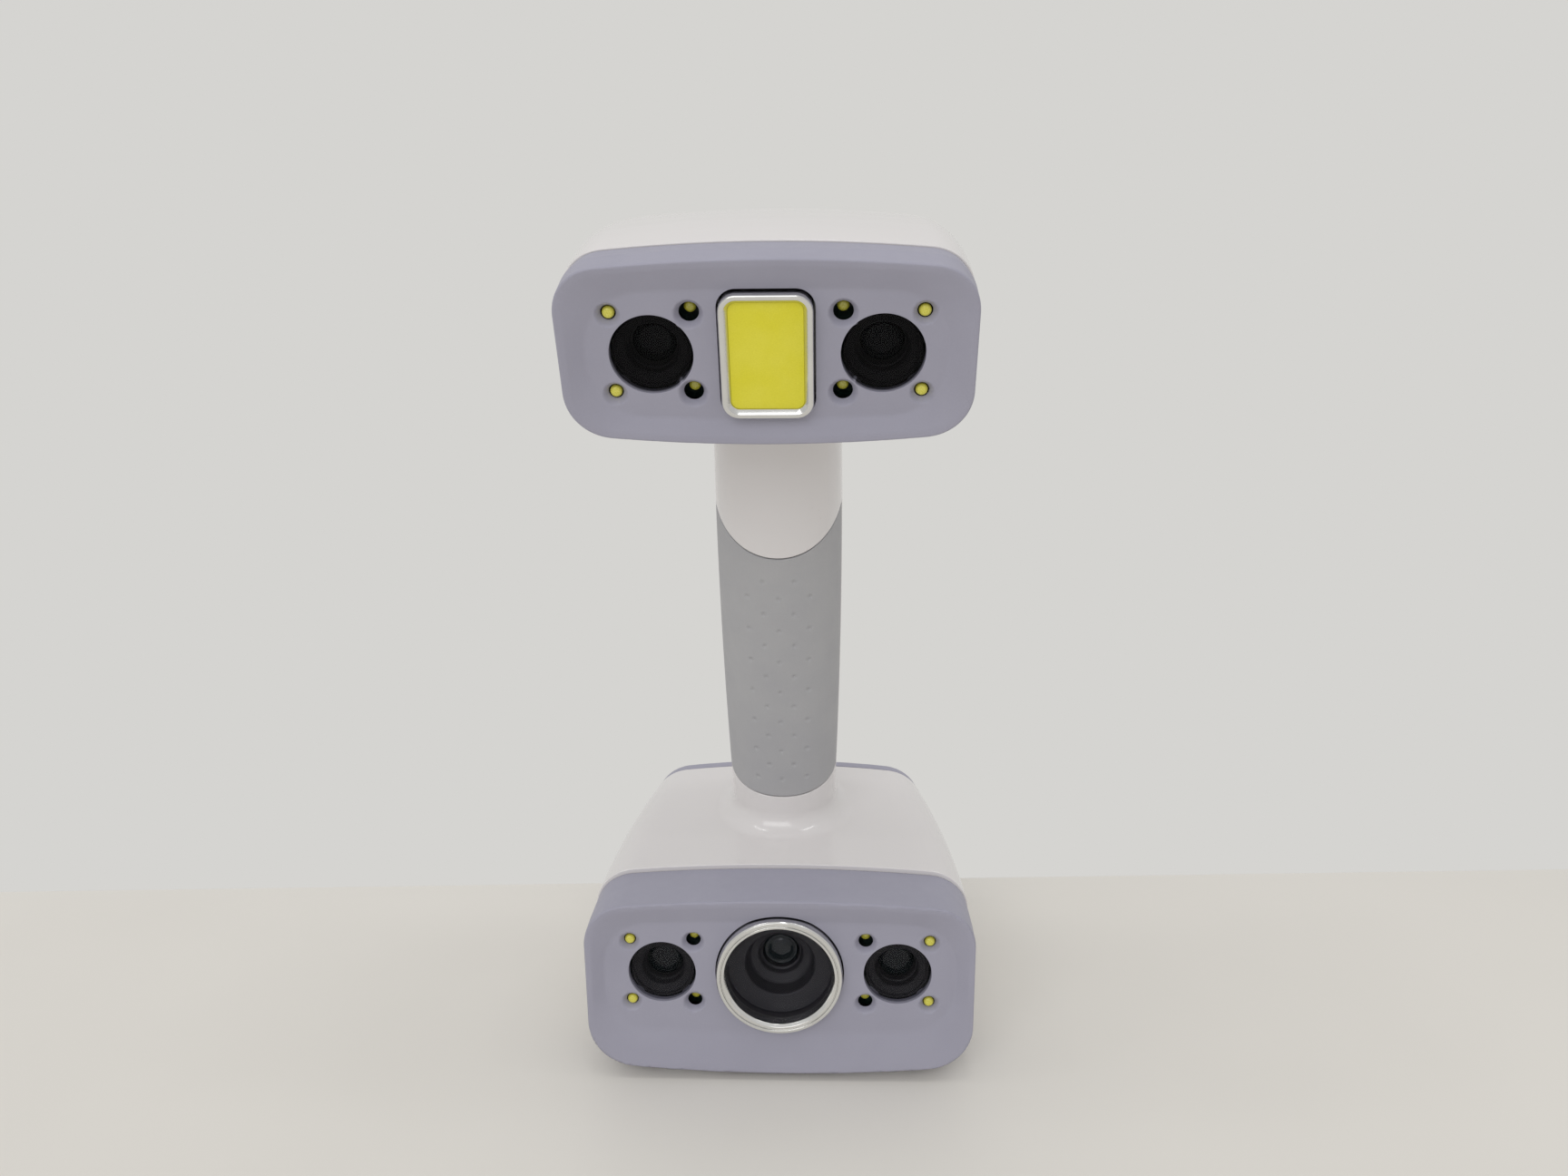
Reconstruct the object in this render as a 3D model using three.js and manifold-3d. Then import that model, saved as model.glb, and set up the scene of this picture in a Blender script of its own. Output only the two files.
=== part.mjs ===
// A handheld structured-light 3D scanner: two camera heads joined by a leaning handle.
// Millimetres, +Z up, -Y is the way both heads look. The object stands on four rubber feet.
import * as THREE from 'three';
import { mergeVertices } from 'three/addons/utils/BufferGeometryUtils.js';
import Module from 'manifold-3d';

const wasm = await Module();
wasm.setup();

// ---------------------------------------------------------------- driving dimensions

const GAP = 0.3; // clearance between pieces that touch
const WALL = 2.2; // thickness of the moulded shells

// Each head is drawn in a frame of its own: +Z comes out of its face, +Y runs up the face, and
// the origin is the middle of the line through its two lenses. Sizes are half widths and heights
// above and below that line.
const LOWER = {
  lensY: 0,
  lensZ: 33.5,
  tilt: THREE.MathUtils.degToRad(-2.87), // looks slightly up
  halfWidth: 54,
  top: 23.3,
  bottom: 31.2,
  cornerTop: 11.5,
  cornerBottom: 13,
  bow: 1.8,
  bezelDepth: 17.5,
  shellEnd: 78.5,
  depth: 85,
  flat: { halfWidth: 48.6, top: 15.4, bottom: 17.8, cornerTop: 13, cornerBottom: 13, bow: 0.6 },
  cameraX: 32.8,
  sideCurve: 0.00145, // millimetres of narrowing per square millimetre of depth
};
const UPPER = {
  lensY: -18.3,
  lensZ: 207.4,
  tilt: THREE.MathUtils.degToRad(16.8), // looks down, towards where the lower head looks
  halfWidth: 46.2,
  top: 22.7,
  bottom: 21.6,
  cornerTop: 10,
  cornerBottom: 10.5,
  bow: 1.7,
  bezelDepth: 10,
  shellEnd: 51.5,
  depth: 66,
  flat: { halfWidth: 39.8, top: 14.6, bottom: 15.4, cornerTop: 13, cornerBottom: 13, bow: 0.5 },
  cameraX: 25.7,
  sideCurve: 0.0019,
  topCurve: 0.00434,
  bottomCurve: 0.0009,
};
const RIM = 2.5; // how far each rim stands in front of the lens plane
const BEZEL_WALL = 2.4;

const WINDOW_RADIUS = 9.1;
const LED_X = 8.85; // each camera has four LEDs at these offsets from its axis
const LED_Y = 9.5;
const LED_RADIUS = 1.5;

const LAMP = { width: 20.75, height: 29.6, corner: 4 };
const LAMP_PANEL = { width: 16.6, height: 25, corner: 2.2 };
// Radii, from the bright ring inwards.
const PROJECTOR = { ringOuter: 17.6, ringInner: 14.8, mouth: 14.5, tube: 16, step: 9.9, lens: 4.9 };

// The handle is a leaning oval tube, lofted from level sections.
const HANDLE = {
  axisY: 55.9, // where its axis meets the top of the lower head
  axisZ: 57,
  lean: 0.1495, // forward travel per millimetre of height
  widest: 17.5,
  widestZ: 150,
  taper: 1.6, // how much narrower it is one taperSpan below the widest place
  taperSpan: 82,
  halfDepth: 17,
  roundness: 2.25, // exponent of the superellipse
  flare: 6, // radius of the fillet onto the lower head
  sides: 28,
};
const HEAD_TOP = 57.2; // level of the lower head's top face
const SPLIT_Y = -3; // the grip meets the rear shell this far from the axis
const GRIP = {
  topZ: 146, // lowest point of the U at the top
  topRadiusX: 17.9,
  topRadiusZ: 17.6,
  bottomZ: 68.7,
  bottomRadiusX: 16.4,
  bottomRadiusZ: 6,
  thickness: 2.6,
};
const REAR_SHELL = { bottomZ: 77, topZ: 166 };

const FOOT = { length: 22, width: 8, height: 1.8 };

// ---------------------------------------------------------------- colours

function finish(color, roughness, metalness = 0) {
  return new THREE.MeshStandardMaterial({ color, roughness, metalness });
}

const LAVENDER = () => finish(0x9695a3, 0.55);
const WHITE = () => finish(0xd4d0cc, 0.2);
const GREY_RUBBER = () => finish(0x9a9c9f, 0.75);
const SILVER = () => finish(0xb9b8b2, 0.3, 1);
const ALUMINIUM = () => finish(0xa8a9ab, 0.4, 1);
const PHOSPHOR = () => finish(0xd3cf3c, 0.6);
const BLACK = () => finish(0x161618, 0.5);
const GLASS = () => finish(0x101214, 0.05);
const CIRCUIT = () => finish(0x1f4a33, 0.5);
const FROSTED = () => finish(0xd8dde0, 0.35);
const STEEL = () => finish(0x8b8c8e, 0.35, 1);

// ---------------------------------------------------------------- solids

function toSolid(geometry) {
  const bare = new THREE.BufferGeometry();
  bare.setAttribute('position', geometry.getAttribute('position'));
  bare.setIndex(geometry.getIndex());
  const merged = mergeVertices(bare, 1e-4);
  const corners = merged.getIndex().array;
  const kept = [];
  for (let i = 0; i < corners.length; i += 3) {
    const [a, b, c] = corners.slice(i, i + 3);
    if (a !== b && b !== c && c !== a) kept.push(a, b, c);
  }
  const vertProperties = new Float32Array(merged.getAttribute('position').array);
  return new wasm.Manifold(new wasm.Mesh({ numProp: 3, vertProperties, triVerts: new Uint32Array(kept) }));
}

// Cuts leave slivers thinner than anything that can be moulded, so they are closed up.
function toGeometry(solid) {
  const mesh = solid.simplify(0.02).getMesh();
  const geometry = new THREE.BufferGeometry();
  geometry.setAttribute('position', new THREE.Float32BufferAttribute(mesh.vertProperties, 3));
  geometry.setIndex(Array.from(mesh.triVerts));
  return geometry;
}

function combine(body, others, operation) {
  return toGeometry(others.reduce((sum, other) => sum[operation](toSolid(other)), toSolid(body)));
}

const cut = (body, ...tools) => combine(body, tools, 'subtract');
const join = (body, ...others) => combine(body, others, 'add');
const common = (body, ...others) => combine(body, others, 'intersect');

// ---------------------------------------------------------------- plain shapes, drawn along Z

function prism(shape, z0, z1, curveSegments = 6) {
  const geometry = new THREE.ExtrudeGeometry(shape, { depth: z1 - z0, bevelEnabled: false, curveSegments });
  return geometry.translate(0, 0, z0);
}

function roundedRect(width, height, corner, x = 0, y = 0) {
  const left = x - width / 2;
  const right = x + width / 2;
  const low = y - height / 2;
  const high = y + height / 2;
  const shape = new THREE.Shape();
  shape.moveTo(left + corner, low);
  shape.absarc(right - corner, low + corner, corner, -Math.PI / 2, 0);
  shape.absarc(right - corner, high - corner, corner, 0, Math.PI / 2);
  shape.absarc(left + corner, high - corner, corner, Math.PI / 2, Math.PI);
  shape.absarc(left + corner, low + corner, corner, Math.PI, 1.5 * Math.PI);
  shape.closePath();
  return shape;
}

function cone(radius0, radius1, z0, z1, x = 0, y = 0, sides = 24) {
  const geometry = new THREE.CylinderGeometry(radius1, radius0, z1 - z0, sides);
  return geometry.rotateX(Math.PI / 2).translate(x, y, (z0 + z1) / 2);
}

const rod = (radius, z0, z1, x = 0, y = 0, sides = 24) => cone(radius, radius, z0, z1, x, y, sides);

function block(width, height, z0, z1, x = 0, y = 0) {
  return new THREE.BoxGeometry(width, height, z1 - z0).translate(x, y, (z0 + z1) / 2);
}

// Turns a profile of [radius, z] points about the Z axis. A profile off the axis closes on itself.
function turned(profile, sides = 24) {
  const points = profile.map(([radius, z]) => new THREE.Vector2(radius, z));
  if (profile[0][0] > 0) points.push(points[0].clone());
  const geometry = new THREE.LatheGeometry(points, sides).rotateX(Math.PI / 2).scale(1, -1, 1);
  return flipped(geometry);
}

function flipped(geometry) {
  const corners = geometry.getIndex().array;
  for (let i = 0; i < corners.length; i += 3) {
    [corners[i + 1], corners[i + 2]] = [corners[i + 2], corners[i + 1]];
  }
  return geometry;
}

// Skins a stack of rings, each a list of Vector3 with the same count, and closes both ends.
function loft(rings) {
  const count = rings[0].length;
  const total = (ring) => ring.reduce((sum, point) => sum.add(point), new THREE.Vector3());
  const centre = (ring) => total(ring).divideScalar(count);
  const points = [centre(rings[0]), ...rings.flat(), centre(rings.at(-1))];
  const last = points.length - 1;
  const corners = [];
  for (let i = 0; i < count; i += 1) {
    const next = (i + 1) % count;
    corners.push(0, 1 + next, 1 + i);
    corners.push(last, last - count + i, last - count + next);
    for (let level = 0; level < rings.length - 1; level += 1) {
      const low = 1 + level * count;
      const high = low + count;
      corners.push(low + i, low + next, high + next);
      corners.push(low + i, high + next, high + i);
    }
  }
  return new THREE.BufferGeometry().setFromPoints(points).setIndex(corners);
}

// ---------------------------------------------------------------- head outlines

// A rounded rectangle whose top and bottom edges bow outwards, as a list of points at depth z.
function outline({ halfWidth, top, bottom, cornerTop, cornerBottom, bow }, z, inset = 0) {
  const pull = 0.6; // length of a corner's curve handles, as a share of the corner
  const w = halfWidth - inset;
  const high = top - inset;
  const low = inset - bottom;
  const ct = Math.max(cornerTop - inset / 2, 2);
  const cb = Math.max(cornerBottom - inset / 2, 2);
  const xTop = w - ct;
  const xBottom = w - cb;
  const right = new THREE.Path();
  right.moveTo(0, low);
  const turnLow = low + bow;
  const turnHigh = high - bow;
  right.quadraticCurveTo(xBottom / 2, low, xBottom, turnLow);
  const sideLow = turnLow + cb;
  const sideHigh = turnHigh - ct;
  right.bezierCurveTo(xBottom + pull * cb, turnLow + 0.2 * bow, w, sideLow - pull * cb, w, sideLow);
  right.lineTo(w, sideHigh);
  right.bezierCurveTo(w, sideHigh + pull * ct, xTop + pull * ct, turnHigh - 0.2 * bow, xTop, turnHigh);
  right.quadraticCurveTo(xTop / 2, high, 0, high);
  const half = right.getPoints(4).map((p) => new THREE.Vector3(p.x, p.y, z));
  const mirrored = half.slice(1, -1).reverse().map((p) => new THREE.Vector3(-p.x, p.y, z));
  return [...half, ...mirrored];
}

// Each head's outline at a given depth behind the lens plane.
function lowerSection(depth) {
  const level = depth * Math.tan(-LOWER.tilt); // keeps the top and bottom faces level
  return {
    ...LOWER,
    halfWidth: LOWER.halfWidth + 0.2 - LOWER.sideCurve * depth ** 2,
    top: LOWER.top + level,
    bottom: LOWER.bottom - level,
  };
}

function upperSection(depth) {
  const behind = Math.max(depth - UPPER.bezelDepth, 0);
  return {
    ...UPPER,
    halfWidth: UPPER.halfWidth - UPPER.sideCurve * behind ** 2,
    top: UPPER.top - 0.2 - UPPER.topCurve * behind ** 2,
    bottom: UPPER.bottom - UPPER.bottomCurve * behind ** 2,
  };
}

function headTube(section, depths, inset) {
  return loft([...depths].reverse().map((depth) => outline(section(depth), -depth, inset)));
}

function steps(from, to, count) {
  return Array.from({ length: count + 1 }, (_, i) => from + ((to - from) * i) / count);
}

// ---------------------------------------------------------------- front bezels

// A lavender moulding with a raised rim round a dished face. The holes are cut by the caller.
function bezelBlank(head) {
  const side = [
    [-head.bezelDepth, 0.4],
    [-3, 0],
    [0.6, 0],
    [1.8, 0.5],
    [RIM, 1.8],
  ];
  const rings = side.map(([z, inset]) => outline(head, z, inset));
  rings.push(outline(head.flat, 0));
  const mouth = outline(head, -head.bezelDepth - 1, WALL + 0.4);
  const cavity = loft([mouth, outline(head, -BEZEL_WALL, WALL + 1.2)]);
  return cut(loft(rings), cavity);
}

// A camera's window hole and its four LED holes. The pair nearer the middle is wider and deeper-set.
function cameraHoles(head, side) {
  const x = side * head.cameraX;
  const through = -BEZEL_WALL - 1;
  const holes = [rod(WINDOW_RADIUS + GAP, through, 1, x)];
  for (const dx of [-LED_X, LED_X]) {
    const inner = dx * side < 0;
    const radius = inner ? 2.3 : 1.8;
    for (const y of [-LED_Y, LED_Y]) {
      holes.push(rod(radius, through, 1, x + dx, y, 8));
      holes.push(cone(radius, radius + 1.1, -1, 0.1, x + dx, y, 8));
    }
  }
  return holes;
}

function upperBezel() {
  const opening = roundedRect(LAMP.width + 1.2, LAMP.height + 1.2, LAMP.corner + 0.6);
  const lampHole = prism(opening, -BEZEL_WALL - 1, RIM + 1, 3);
  return cut(bezelBlank(UPPER), lampHole, ...cameraHoles(UPPER, -1), ...cameraHoles(UPPER, 1));
}

function lowerBezel() {
  const projectorHole = rod(PROJECTOR.ringOuter + GAP, -BEZEL_WALL - 1, RIM + 1, 0, 0, 30);
  return cut(bezelBlank(LOWER), projectorHole, ...cameraHoles(LOWER, -1), ...cameraHoles(LOWER, 1));
}

// ---------------------------------------------------------------- handle

const handleY = (z) => HANDLE.axisY - HANDLE.lean * (z - HANDLE.axisZ);

function handleRing(z, grow) {
  const narrowing = HANDLE.taper * ((HANDLE.widestZ - z) / HANDLE.taperSpan) ** 2;
  const neck = Math.max(z - HANDLE.widestZ, 0) / 50;
  const w = HANDLE.widest - narrowing + grow;
  const d = HANDLE.halfDepth - 1.5 * neck + grow;
  const power = 2 / HANDLE.roundness;
  return steps(0, HANDLE.sides - 1, HANDLE.sides - 1).map((i) => {
    const angle = (i / HANDLE.sides) * 2 * Math.PI;
    const x = w * Math.sign(Math.cos(angle)) * Math.abs(Math.cos(angle)) ** power;
    const y = d * Math.sign(Math.sin(angle)) * Math.abs(Math.sin(angle)) ** power;
    return new THREE.Vector3(x, handleY(z) + y, z);
  });
}

function handleTube(z0, z1, grow = 0, levels = 6) {
  return loft(steps(z0, z1, levels).map((z) => handleRing(z, grow)));
}

// The fillet that spreads the foot of the handle onto the lower head's top face.
function handleFlare() {
  const r = HANDLE.flare;
  const rings = steps(0, 5, 5).map((i) => {
    const angle = (i / 5) * (Math.PI / 2);
    return handleRing(HEAD_TOP + r * (1 - Math.cos(angle)), r * (1 - Math.sin(angle)));
  });
  return loft([handleRing(HEAD_TOP - 1, r), ...rings]);
}

// A slab that leans with the handle and holds everything between two distances from its axis.
function leaningSlab(y0, y1, z0, z1) {
  const slab = new THREE.BoxGeometry(80, y1 - y0, z1 - z0).translate(0, (y0 + y1) / 2, (z0 + z1) / 2);
  const shear = new THREE.Matrix4().makeShear(0, 0, 0, 0, 0, -HANDLE.lean);
  const axisAtFloor = HANDLE.axisY + HANDLE.lean * HANDLE.axisZ;
  return slab.applyMatrix4(shear).translate(0, axisAtFloor, 0);
}

// The outline of the grip seen from the front: a deep U at the top and a shallow one below.
function gripRegion(clearance) {
  const far = 30;
  const topCentre = GRIP.topZ + GRIP.topRadiusZ;
  const bottomCentre = GRIP.bottomZ + GRIP.bottomRadiusZ;
  const shape = new THREE.Shape();
  shape.moveTo(-far, topCentre);
  shape.lineTo(-GRIP.topRadiusX, topCentre);
  shape.absellipse(0, topCentre, GRIP.topRadiusX, GRIP.topRadiusZ - clearance, Math.PI, 2 * Math.PI);
  shape.lineTo(far, topCentre);
  shape.lineTo(far, bottomCentre);
  shape.absellipse(0, bottomCentre, GRIP.bottomRadiusX, GRIP.bottomRadiusZ + clearance, 0, Math.PI, true);
  shape.lineTo(-far, bottomCentre);
  shape.closePath();
  const front = prism(shape, -60, 60, 9).rotateX(Math.PI / 2);
  const nearHalf = leaningSlab(-60, SPLIT_Y - GAP / 2 + clearance, 0, 250);
  return common(front, nearHalf);
}

function gripPad() {
  const skin = cut(handleTube(64, 168), handleTube(60, 172, -GRIP.thickness));
  return common(skin, gripRegion(0));
}

function gripCarrier() {
  const outer = -GRIP.thickness - GAP;
  const tube = cut(handleTube(64, 172, outer, 4), handleTube(60, 176, outer - 1.8, 4));
  return common(tube, leaningSlab(-60, SPLIT_Y - GAP / 2, 0, 250));
}

function handleRearShell() {
  const tube = cut(handleTube(60, 180), handleTube(58, 184, -WALL));
  return common(tube, leaningSlab(SPLIT_Y + GAP / 2, 60, REAR_SHELL.bottomZ, REAR_SHELL.topZ));
}

function rearShellRoom() {
  return leaningSlab(SPLIT_Y - GAP / 2, 60, REAR_SHELL.bottomZ - GAP, REAR_SHELL.topZ + GAP);
}

// The part of the handle that belongs to a head's shell, between two levels.
function neck(z0, z1) {
  return cut(handleTube(z0, z1, 0, 4), gripRegion(GAP), rearShellRoom());
}

// The metal spine that holds the two heads' optics in line.
function handleSpine() {
  const quarters = [[-1, -1], [1, -1], [1, 1], [-1, 1]];
  const section = ([z, halfX, halfY]) =>
    quarters.map(([sx, sy]) => new THREE.Vector3(sx * halfX, handleY(z) - 2 + sy * halfY, z));
  const levels = [
    [48.2, 13, 8], // foot plate in the lower head
    [50.5, 13, 8],
    [53, 7, 4.5],
    [198, 7, 4.5],
    [201, 11, 7], // head plate in the upper head
    [203.5, 11, 7],
  ];
  return loft(levels.map(section));
}

// The bundle of wires between the two heads, close behind the spine.
function cableHarness() {
  const [low, high] = [50, 200];
  const extrudePath = new THREE.LineCurve3(
    new THREE.Vector3(0, handleY(low) + 8.6, low),
    new THREE.Vector3(0, handleY(high) + 5.6, high),
  );
  const section = new THREE.Shape().absarc(0, 0, 1.7, 0, 2 * Math.PI);
  const options = { steps: 6, curveSegments: 4, bevelEnabled: false, extrudePath };
  return new THREE.ExtrudeGeometry(section, options);
}

// ---------------------------------------------------------------- head groups

function headGroup(head) {
  const group = new THREE.Group();
  group.position.set(0, head.lensY, head.lensZ);
  group.rotation.x = Math.PI / 2 + head.tilt;
  group.updateMatrix();
  return group;
}

const upper = headGroup(UPPER);
const lower = headGroup(LOWER);

const intoHead = (group, geometry) => geometry.applyMatrix4(group.matrix.clone().invert());

function upperShell() {
  const depths = steps(UPPER.bezelDepth + GAP, UPPER.shellEnd, 3);
  const tube = headTube(upperSection, depths, 0);
  const hollow = headTube(upperSection, steps(UPPER.bezelDepth - 1, UPPER.shellEnd + 1, 3), WALL);
  const coverRoom = headTube(upperSection, steps(UPPER.shellEnd, UPPER.depth + 8, 3), -GAP);
  const neckOuter = cut(intoHead(upper, neck(146, 212)), coverRoom);
  const neckInner = intoHead(upper, handleTube(140, 206, -WALL, 3));
  return cut(join(tube, neckOuter), hollow, neckInner);
}

function lowerShell() {
  const depths = steps(LOWER.bezelDepth + GAP, LOWER.shellEnd, 3);
  const tube = headTube(lowerSection, depths, 0);
  const hollow = headTube(lowerSection, steps(LOWER.bezelDepth - 1, LOWER.shellEnd + 1, 3), WALL);
  const neckOuter = intoHead(lower, join(neck(50, 80), handleFlare()));
  const neckInner = intoHead(lower, handleTube(48, 84, -WALL, 1));
  return cut(join(tube, neckOuter), hollow, neckInner);
}

// ---------------------------------------------------------------- rear covers

// A cap with rounded back edges, hollow from the front.
function coverBlank(head, section) {
  const start = head.shellEnd + GAP;
  const span = head.depth - start;
  const edge = [
    [0, 0],
    [0.45, 0.2],
    [0.78, 1.4],
    [0.95, 3.4],
    [1, 5.4],
  ];
  const rings = edge.map(([along, inset]) => {
    const depth = start + along * span;
    return outline(section(depth), -depth, inset);
  });
  const hollow = [
    outline(section(start - 1), -start + 1, WALL),
    outline(section(head.depth - WALL - 3), -head.depth + WALL + 3, WALL + 1),
    outline(section(head.depth - WALL), -head.depth + WALL, WALL + 5),
  ];
  return cut(loft(rings.reverse()), loft(hollow.reverse()));
}

const KEYS = {
  scan: { x: 0, y: -4, radius: 7.4 },
  plus: { x: 21, y: -4, radius: 4.6 },
  minus: { x: -21, y: -4, radius: 4.6 },
};
const LIGHT_RING = { inner: 8.2, outer: 9.6 }; // round the scan key

function upperRearCover() {
  const [z0, z1] = [-UPPER.depth - 1, -UPPER.depth + WALL + 1];
  const through = (radius, place) => rod(radius, z0, z1, place.x, place.y, 28);
  const holes = [
    through(LIGHT_RING.outer + GAP, KEYS.scan),
    through(KEYS.plus.radius + GAP, KEYS.plus),
    through(KEYS.minus.radius + GAP, KEYS.minus),
  ];
  const neckRoom = intoHead(upper, handleTube(180, 206, -WALL, 4));
  return cut(coverBlank(UPPER, upperSection), ...holes, neckRoom);
}

// A sprung key: a crowned cap that stands proud of the cover, on a flange that stops it falling out.
function key({ radius }) {
  const back = -UPPER.depth;
  return turned([
    [0, back - 1.5],
    [radius - 1.2, back - 1.3],
    [radius, back - 0.7],
    [radius, back + WALL + 1.2],
    [radius - 1, back + WALL + 2],
    [0, back + WALL + 2],
  ]);
}

function statusLightRing() {
  const back = -UPPER.depth;
  const { inner, outer } = LIGHT_RING;
  return turned([
    [inner, back - 0.4],
    [outer, back - 0.4],
    [outer, back + WALL + 0.6],
    [inner, back + WALL + 0.6],
  ]);
}

const FAN = { half: 16, bore: 14.6, z0: -76, z1: -68.3, x: 6, y: -3 };
const SOCKET = { x: -26, y: -5, bore: 4.8, outer: 7, depth: 9 };
const COVER_SCREWS = [
  [-34, 10],
  [34, 10],
  [-33, -16],
  [33, -16],
];
const VENT = { count: 7, pitch: 4.4, width: 2, height: 24 };

function lowerRearCover() {
  const z0 = -LOWER.depth - 1;
  const z1 = -LOWER.depth + WALL + 1;
  const slots = steps(0, VENT.count - 1, VENT.count - 1).map((i) => {
    const x = FAN.x + (i - (VENT.count - 1) / 2) * VENT.pitch;
    return block(VENT.width, VENT.height, z0, z1, x, FAN.y);
  });
  const socketHole = rod(SOCKET.outer + GAP, z0, z1, SOCKET.x, SOCKET.y);
  const screwHoles = COVER_SCREWS.flatMap(([x, y]) => [
    rod(1.8, z0, -LOWER.shellEnd, x, y, 8),
    rod(3.3, z0, -LOWER.depth + 1.4, x, y, 12),
  ]);
  return cut(coverBlank(LOWER, lowerSection), ...slots, socketHole, ...screwHoles);
}

function coverScrew() {
  const head = -LOWER.depth + 0.3;
  const blank = turned(
    [
      [0, head - 0.2],
      [2.2, head],
      [2.8, head + 0.8],
      [1.4, head + 0.8],
      [1.4, head + 8],
      [0, head + 8.6],
    ],
    8,
  );
  return cut(blank, block(3, 0.7, head - 1, head + 0.5), block(0.7, 3, head - 1, head + 0.5));
}

// The inlet for the scanner's one cable, with a keyed core.
function cableSocket() {
  const back = -LOWER.depth;
  const floor = back + SOCKET.depth;
  return turned([
    [0, floor - 1.5],
    [SOCKET.bore, floor - 1.5],
    [SOCKET.bore, back - 0.6],
    [SOCKET.outer, back - 0.6],
    [SOCKET.outer, floor],
    [0, floor],
  ]);
}

// ---------------------------------------------------------------- cameras and LEDs

const cameraWindow = () => rod(WINDOW_RADIUS, -1.6, -0.6);

// A lens barrel: a tapered mouth, a retaining step and the crown of the front lens.
function cameraBarrel() {
  return turned(
    [
      [0, -14],
      [8.8, -14],
      [8.8, -1.9],
      [8.2, -1.9],
      [6, -3.5],
      [5.5, -5.8],
      [5.2, -7.2],
      [0, -6.1],
    ],
    18,
  );
}

function sensorBoard() {
  return join(prism(roundedRect(22, 22, 2), -17, -15.6, 1), block(11, 11, -15.7, -14.3));
}

// A ring-shaped circuit board that carries one camera's four LEDs.
function ledBoard(side) {
  const board = cut(prism(roundedRect(25, 27, 3), -7.4, -6, 1), rod(9.3, -8, -5, 0, 0, 20));
  const leds = [];
  for (const dx of [-LED_X, LED_X]) {
    const front = dx * side < 0 ? -3.4 : -0.9;
    for (const y of [-LED_Y, LED_Y]) leds.push(rod(LED_RADIUS, -6.5, front, dx, y, 8));
  }
  return join(board, ...leds);
}

// ---------------------------------------------------------------- lamp in the upper head

function lampFrame() {
  const frame = roundedRect(LAMP.width, LAMP.height, LAMP.corner);
  frame.holes.push(roundedRect(LAMP_PANEL.width, LAMP_PANEL.height, LAMP_PANEL.corner));
  return prism(frame, -4.6, 2.6, 3);
}

function lampPanel() {
  const { width, height, corner } = LAMP_PANEL;
  return prism(roundedRect(width - 0.5, height - 0.5, corner - 0.2), -0.2, 1.2, 2);
}

const lampBoard = () => prism(roundedRect(20, 29, 2), -6.6, -5, 1);

// A finned block: a base plate with upright fins behind it.
function finned(width, height, z0, z1, fins) {
  const base = 2;
  const thickness = 1.2;
  const shape = new THREE.Shape();
  shape.moveTo(-width / 2, -z1);
  shape.lineTo(width / 2, -z1);
  for (let i = fins - 1; i >= 0; i -= 1) {
    const x = -width / 2 + (i * (width - thickness)) / (fins - 1);
    shape.lineTo(x + thickness, -z0);
    shape.lineTo(x, -z0);
    if (i > 0) shape.lineTo(x, -z1 + base);
    if (i > 0) shape.lineTo(x - (width - thickness) / (fins - 1) + thickness, -z1 + base);
  }
  shape.closePath();
  return prism(shape, -height / 2, height / 2).rotateX(-Math.PI / 2);
}

// ---------------------------------------------------------------- projector in the lower head

function projectorRing() {
  const { ringOuter, ringInner, tube } = PROJECTOR;
  return turned(
    [
      [ringInner, -0.6],
      [ringInner, 2.3],
      [ringInner + 0.6, 2.9],
      [ringInner + 1.3, 2.6],
      [ringInner + 1.6, 3],
      [ringOuter - 0.4, 3],
      [ringOuter, 2.5],
      [ringOuter, -4],
      [tube + GAP, -4],
      [tube + GAP, -0.6],
    ].reverse(),
    30,
  );
}

function projectorBaffle() {
  const { mouth, tube, step } = PROJECTOR;
  return turned(
    [
      [mouth + 0.3, -0.9],
      [mouth + 0.3, -3.6],
      [mouth - 0.2, -3.7],
      [step, -4.7],
      [step - 1.3, -8.8],
      [6.3, -9.8],
      [5.3, -11.5],
      [5.3, -24],
      [tube, -24],
      [tube, -0.9],
    ],
    30,
  );
}

const projectorWindow = () => rod(PROJECTOR.mouth, -3.3, -2.3, 0, 0, 30);

function projectorLens() {
  return turned([
    [0, -36],
    [7.5, -36],
    [7.5, -24.3],
    [PROJECTOR.lens, -24.3],
    [PROJECTOR.lens, -12.8],
    [3.6, -12],
    [1.8, -11.6],
    [0, -11.5],
  ]);
}

function projectorEngine() {
  const body = prism(roundedRect(46, 33, 3), -56, -36.3, 1);
  return join(body, prism(roundedRect(30, 30, 3), -58, -55.5, 1));
}

function fanFrame() {
  const { half, bore, z0, z1 } = FAN;
  const frame = cut(prism(roundedRect(2 * half, 2 * half, 2.5), z0, z1, 1), rod(bore, z0 - 1, z1 + 1));
  const armZ = z1 - 1.4;
  const arms = [0, 1].map((i) => block(2 * bore + 1, 2.4, armZ, z1).rotateZ(((2 * i + 1) * Math.PI) / 4));
  return join(frame, ...arms, rod(5.5, armZ, z1, 0, 0, 16));
}

function fanRotor() {
  const bladeCount = 7;
  const top = FAN.z1 - 1.9;
  const hub = rod(5.8, FAN.z0 + 0.6, top, 0, 0, 16);
  const blades = steps(1, bladeCount, bladeCount - 1).map((i) => {
    const pitched = new THREE.BoxGeometry(9, 0.9, 5.2).rotateX(0.6);
    return pitched.translate(9.6, 0, (FAN.z0 + top) / 2).rotateZ((i * 2 * Math.PI) / bladeCount);
  });
  return join(hub, ...blades);
}

// ---------------------------------------------------------------- feet

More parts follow.
